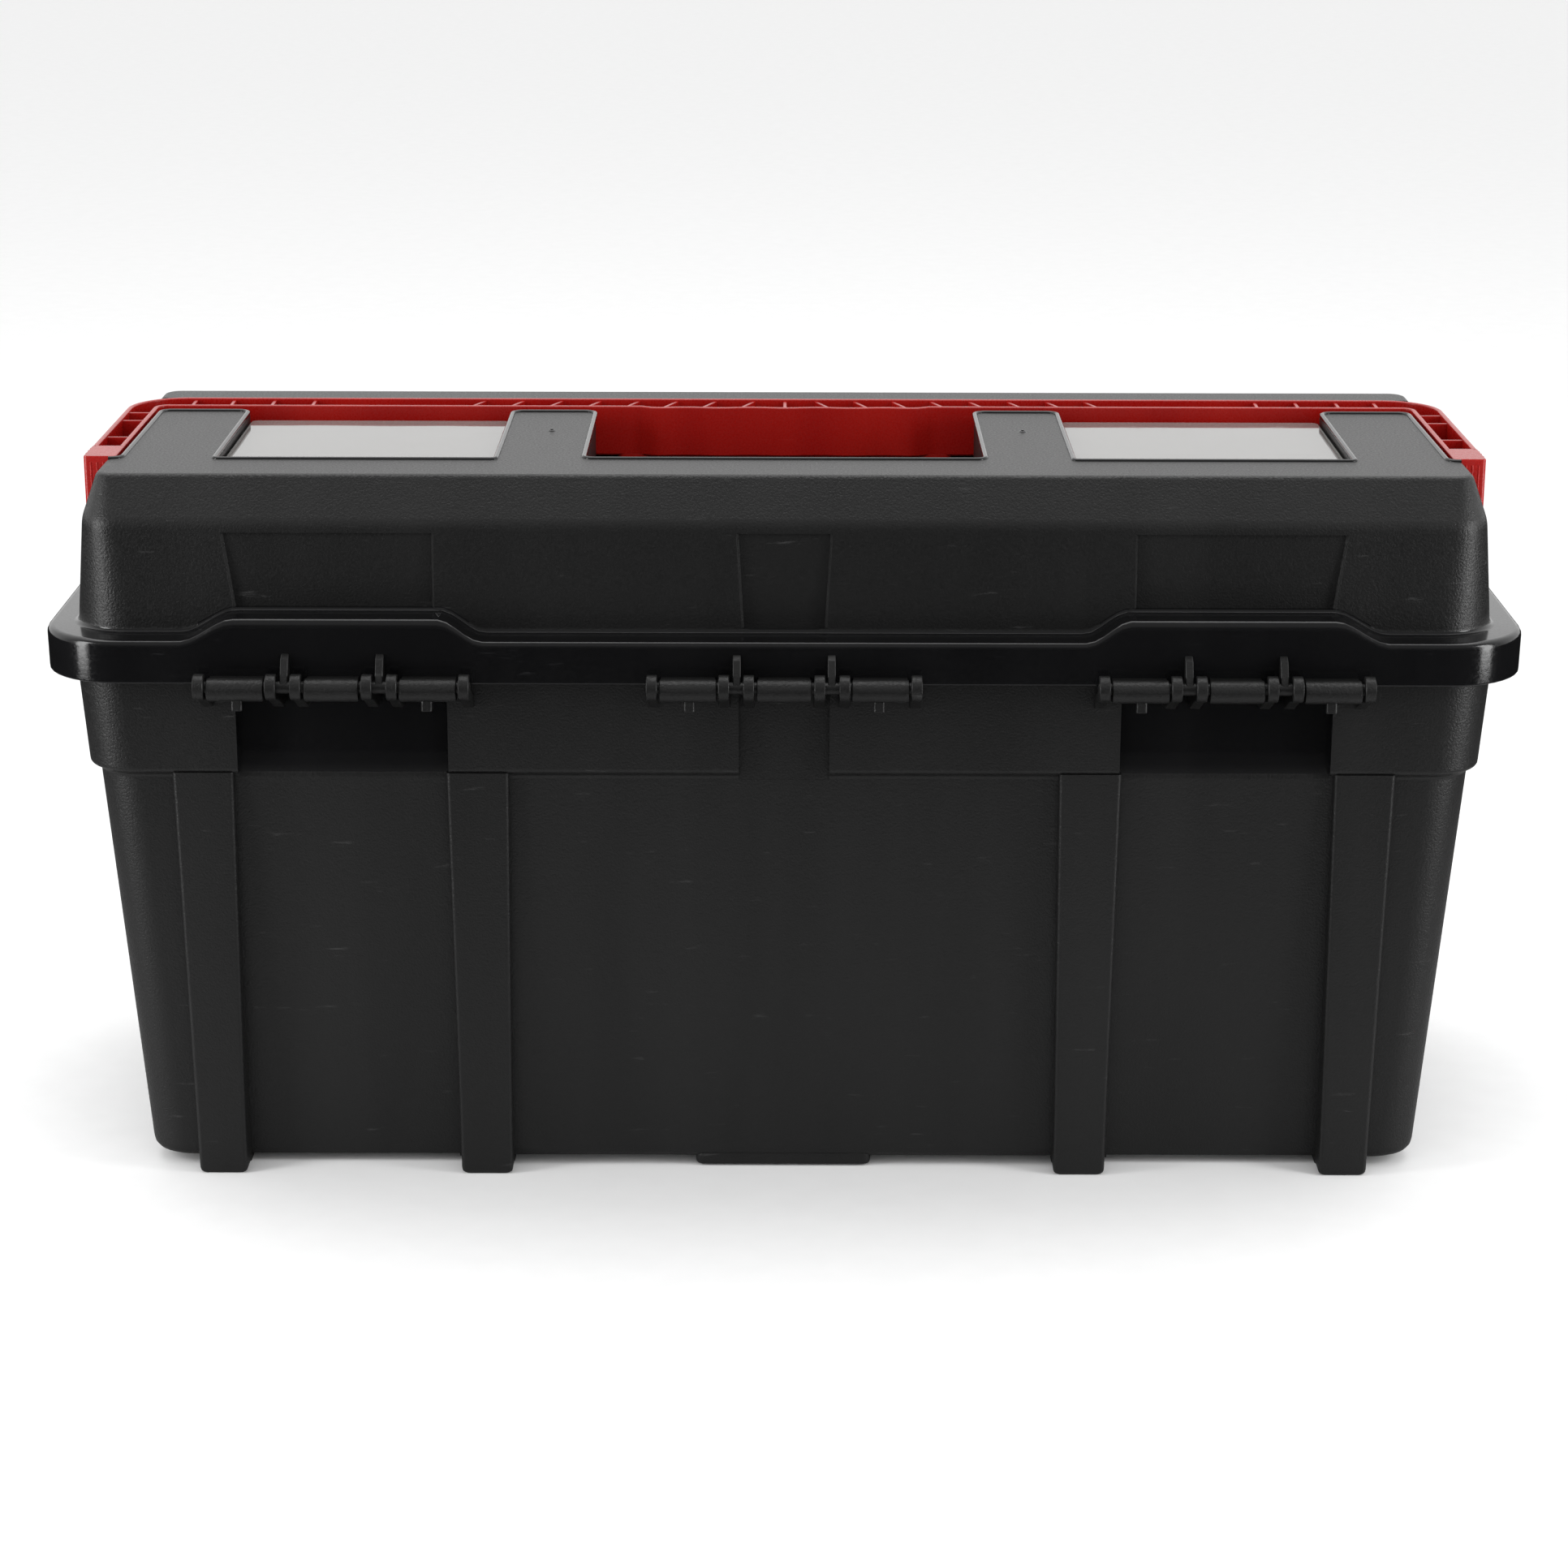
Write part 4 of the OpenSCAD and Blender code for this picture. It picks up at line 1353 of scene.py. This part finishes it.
@dataclass(frozen=True)
class OrganizerCover:
    """The clear cover of one bin, hinged along its rear edge."""

    x: float
    axis_y: float
    axis_z: float
    front: float = -42.2
    half: float = 56.5

    def make(self, name: str) -> bpy.types.Object:
        """Builds the cover.

        Args:
            name: the object's name.

        Returns:
            The cover as one object in millimetres.
        """
        half, y, z, low = self.half, self.axis_y, self.axis_z, self.axis_z - 1.1
        shell = Shell().slab((-half, self.front, low), (half, y - 3.2, low + 2), 3.0, 0.5)
        shell.slab((-half + 3, y - 6, low + 0.1), (half - 3, y, low + 1.9), 1.0, 0.5)
        shell.spindle(-half + 0.3, half - 0.3, y, z, 1.9, 0.4, 20)
        shell.spindle(-half - 3, half + 3, y, z, 1.5, 0.4, 20)
        return shell.moved((self.x, 0, 0)).to_object(name)


@dataclass(frozen=True)
class Tray:
    """The lift-out tray with its fixed walls, and the grip that clips over its long wall."""

    low: Vector
    high: Vector
    wall: float = 2.2
    rim_w: float = 8.6
    long_wall_y: float = 22.0
    cross_x: float = 70.0
    slot_half: float = 1.8
    grip_half: float = 72.0
    grip_w: float = 14.0
    grip_d: float = 7.8
    grip_steps: int = 20

    def body(self) -> bpy.types.Object:
        """Builds the tray with a rolled rim, fixed walls and guide ribs."""
        z0, z1, t = self.low.z, self.high.z, self.wall
        rim, y1, wall_y = self.high.x, self.high.y, self.long_wall_y
        half = rim - self.rim_w
        inside = half - t
        levels = (
            (240, 60, 8, z0 + t), (inside - 1.5, y1 - t - 1.5, 11, z0 + t), (inside, y1 - t, 12, z1),
            (rim, y1, 9, z1), (rim, y1, 9, z1 - 2.5), (half, y1 - 0.4, 14, z1 - 2.6),
            (half - 1.5, y1 - 1.5, 13, z0), (240, 60, 8, z0),
        )
        keys = [Ring.even(x, -y, y, corner, z) for x, y, corner, z in levels]
        shell = Shell().rings(keys, [3.5, 0.8, 0.8, 0.8, 0.8, 4.0])
        shell.slab((-inside, wall_y - 1.1, z0 + 1), (inside, wall_y + 1.1, z1), 0.9, 0.7)
        for x in (-self.cross_x, self.cross_x):
            shell.slab((x - 1, -y1 + 1.2, z0 + 1), (x + 1, wall_y, z1 - 14), 0.8, 0.6)
        last = node_box("tray_divider_3")
        pitch = (last[0].x + last[1].x) / 2
        for x in (-pitch, 0.0, pitch):
            for guide in (x - self.slot_half, x + self.slot_half):
                for y in (wall_y + 1, y1 - t - 1.8):
                    shell.slab((guide - 0.5, y, z0 + 1), (guide + 0.5, y + 1.9, z1 - 6), 0.4, 0.4)
        return shell.to_object("lift_out_tray_moulded")

    def arch(self, half: float, top: float, r: float) -> list[Vector]:
        """Lists an arch in the X-Z plane.

        Args:
            half: half its width.
            top: its height.
            r: the radius of its shoulders.

        Returns:
            Its points from one foot to the other.
        """
        left = [(-half, node_box("tray_handle")[0].z)] + arc((r - half, top - r), r, 180, 90, 8)
        return [Vector((x, 0, z)) for x, z in left + [(-x, z) for x, z in left[::-1]]]

    def grip(self) -> bpy.types.Object:
        """Builds the arched grip with its fork feet."""
        low, high = node_box("tray_handle")
        y, foot, clear = self.long_wall_y, low.z - 5, self.wall / 2 + 0.3
        outer = self.arch(self.grip_half, high.z, 14.0)
        inner = self.arch(self.grip_half - self.grip_w, high.z - 12, 6.0)
        turns = arc((0, 0), 1, 0, 360, self.grip_steps)[:-1]
        # a section with flat sides and round corners: both of its coordinates are raised to a power
        section = [[math.copysign(abs(v) ** 0.55, v) for v in turn] for turn in turns]
        grip = Shell().loft([
            [a + (b - a) * (0.5 + 0.5 * across) + Vector((0, y + self.grip_d * wide, 0))
             for across, wide in section]
            for a, b in zip(outer, inner)]).to_object("tray_grip")
        slot = Shell().slab((-80, y - clear, foot), (80, y + clear, self.high.z + 0.4), 0.3, 0.2)
        combine(grip, slot, Cut.AWAY)
        for x in (-self.cross_x, self.cross_x):
            slot = Shell().slab((x - clear, -90, foot), (x + clear, y, self.high.z - 13.6), 0.3, 0.2)
            combine(grip, slot, Cut.AWAY)
        return grip


# The studio


@dataclass(frozen=True)
class Studio:
    """A white sweep, soft boxes and the camera, which looks at the box from behind it."""

    lens_px: float = 4500.0
    frame_px: float = 1932.0
    camera_back: float = 1415.6
    camera_z: float = 601.0
    pitch_deg: float = 16.7
    roll_deg: float = 0.14
    backdrop: float = 1.45
    behind: float = 0.06
    behind_low: float = 0.05
    behind_high: float = 0.42
    fill: float = 1.18
    floor_half: float = 14.0

    def camera(self, env: Envelope) -> None:
        """Sets the camera.

        Args:
            env: the planes that its place is taken from.
        """
        data = bpy.data.cameras.new("camera")
        data.sensor_width = 36.0
        data.lens = self.lens_px / self.frame_px * data.sensor_width
        data.clip_end = 20.0
        camera = bpy.data.objects.new("camera", data)
        camera.location = (0.0, (env.rear + self.camera_back) * MM, self.camera_z * MM)
        turns = ((180, "Z"), (90 - self.pitch_deg, "X"), (self.roll_deg, "Z"))
        heading, tilt, roll = (Matrix.Rotation(math.radians(a), 4, axis) for a, axis in turns)
        camera.rotation_euler = (heading @ tilt @ roll).to_euler()
        bpy.context.scene.collection.objects.link(camera)
        bpy.context.scene.camera = camera

    def soft_box(self, name: str, at: tuple[float, float, float], size: tuple[float, float],
                 watts: float, aim: tuple[float, float, float] = (0.0, 0.0, 0.15)) -> None:
        """Adds one rectangular soft light.

        Args:
            name: its name.
            at: its place in metres.
            size: its width and height in metres.
            watts: its power.
            aim: the point that it faces, in metres.
        """
        data = bpy.data.lights.new(name, "AREA")
        data.shape, data.size, data.size_y, data.energy = "RECTANGLE", size[0], size[1], watts
        light = bpy.data.objects.new(name, data)
        light.location = at
        light.rotation_euler = (Vector(aim) - Vector(at)).to_track_quat("-Z", "Y").to_euler()
        bpy.context.scene.collection.objects.link(light)

    def room(self) -> None:
        """Lights the box from a white backdrop in front of it, with a dimmer room behind the camera."""
        world = bpy.data.worlds.new("studio")
        bpy.context.scene.world = world
        world.use_nodes = True
        tree = world.node_tree
        tree.nodes.clear()
        way = add_node(tree, "ShaderNodeTexCoord").outputs["Generated"]
        parts = add_node(tree, "ShaderNodeSeparateXYZ", links={"Vector": way}).outputs
        depth = remap(tree, parts["Y"], (-0.35, 0.5), (self.backdrop, self.behind), "SMOOTHSTEP")
        height = remap(tree, parts["Z"], (0.15, 0.6), (self.behind_low, self.behind_high), "SMOOTHSTEP")
        brighter = add_node(tree, "ShaderNodeMath", links={0: depth, 1: height}, operation="MAXIMUM")
        glow = add_node(tree, "ShaderNodeBackground", links={"Strength": brighter.outputs[0]})
        even = add_node(tree, "ShaderNodeBackground", {"Strength": self.fill})
        both = self.seen_or_mirrored(tree, even.outputs[0], glow.outputs[0])
        add_node(tree, "ShaderNodeOutputWorld", links={"Surface": both})

    def seen_or_mirrored(self, tree: bpy.types.NodeTree, seen: Socket, mirrored: Socket) -> Socket:
        """Makes what the box's gloss mirrors differ from what is seen.

        Args:
            tree: the tree to add to.
            seen: the shader for everything else.
            mirrored: the shader for glossy rays.

        Returns:
            The shader that picks between them.
        """
        path = add_node(tree, "ShaderNodeLightPath")
        both = add_node(tree, "ShaderNodeMixShader", links={"Fac": path.outputs["Is Glossy Ray"]})
        tree.links.new(seen, both.inputs[1])
        tree.links.new(mirrored, both.inputs[2])
        return both.outputs[0]

    def floor(self) -> None:
        """Lays the pale floor."""
        far = self.floor_half
        mesh = bpy.data.meshes.new("floor")
        mesh.from_pydata([(-far, -far, 0), (far, -far, 0), (far, far, 0), (-far, far, 0)], [],
                         [(0, 1, 2, 3)])
        floor = bpy.data.objects.new("floor", mesh)
        bpy.context.scene.collection.objects.link(floor)
        new = Material("white_paper", Roughness=0.9, Specular_IOR_Level=0.1)
        tree, place = new.tree, new.place
        new.feed("Base Color", blend(tree, noise(tree, place, 60.0, 3.0), "#f6f6f6", "#fbfbfb"))
        # Painted reflection: in the gloss of the mouldings the paper shows as a darker studio floor, with
        # a painted pool of light that is light grey near the box and fades to near black farther out.
        away = add_node(tree, "ShaderNodeVectorMath", links={0: place}, operation="LENGTH")
        painted_light_pool = remap(tree, away.outputs["Value"], (0.3, 0.85), kind="SMOOTHSTEP")
        dim = add_node(tree, "ShaderNodeBsdfDiffuse",
                       links={"Color": blend(tree, painted_light_pool, "#a4a4a4", "#161616")})
        both = self.seen_or_mirrored(tree, new.shader.outputs[0], dim.outputs[0])
        tree.links.new(both, new.output.inputs["Surface"])
        mesh.materials.append(new.data)

    def set_up(self, env: Envelope) -> None:
        """Builds the floor, the lights and the camera.

        Args:
            env: the planes that the camera's place is taken from.
        """
        self.camera(env)
        self.room()
        self.floor()
        self.soft_box("top_box", (0.0, -0.6, 2.2), (2.4, 1.4), 16.0)
        for side, name in ((-1, "left_box"), (1, "right_box")):
            self.soft_box(name, (side * 0.85, 0.4, 0.35), (0.2, 0.68), 3.6, (side * 0.3, 0.1, 0.2))
        view = bpy.context.scene.view_settings
        view.view_transform, view.look = "Standard", "None"


# Putting it together


def main() -> None:
    """Builds the sub-assemblies in order and dresses every piece."""
    logging.basicConfig(level=logging.INFO, format="%(message)s")
    env = Envelope.from_frame()
    shop = Workshop(Paintbox())
    outer = [HingeGroup(x, env.hinge_y, env.hinge_z, env.rear) for x in (-181.0, 181.0)]
    hinges = (outer[0], replace(outer[0], centre=0.0, sunk_half=18.5, sunk_y=103.6), outer[1])

    tub = TubBuilder(Tub(env), hinges)
    shop.finish(tub.make(), Finish.GRAINED, "base", ("base_tub",), polished=tub.is_polished)

    lid = Lid(env, hinges)
    shop.finish(lid.make(), Finish.GRAINED, "lid", ("lid_shell",), polished=lid.is_polished)
    trim = LidTrim(lid)
    shop.finish(trim.bead().to_object("lid_recess_bead"), Finish.POLISHED, "lid")
    shop.finish(trim.hinge_rods().to_object("lid_hinge_rods"), Finish.GRAINED, "lid")
    shop.finish(trim.gate_marks().to_object("lid_gate_marks"), Finish.POLISHED, "lid")
    shop.finish(trim.lugs().to_object("lid_latch_lugs"), Finish.GRAINED, "lid")

    shop.finish(CarryHandle().make(), Finish.RED, "handle", ("carry_handle",))
    for side in ("left", "right"):
        latch = Latch(pivot(f"{side}_latch_hinge")[0], env).make(f"latch_{side}_moulded")
        shop.finish(latch, Finish.RED, f"{side}_latch", (f"latch_{side}",))
        cover = OrganizerCover(*pivot(f"{side}_cover_hinge")).make(f"organizer_cover_{side}_clear")
        shop.finish(cover, Finish.CLEAR, f"{side}_cover", (f"organizer_cover_{side}",))
        shop.dress_node(f"latch_pin_{side}", Finish.STEEL)

    tray = Tray(*node_box("lift_out_tray"))
    shop.finish(tray.body(), Finish.GREY, "tray", ("lift_out_tray",))
    shop.finish(tray.grip(), Finish.RED, "tray", ("tray_handle",))
    for name in sorted(frame["nodes"]):
        if "divider" in name:
            shop.dress_node(name, Finish.GREY)

    Studio().set_up(env)


if __name__ == "__main__":
    main()
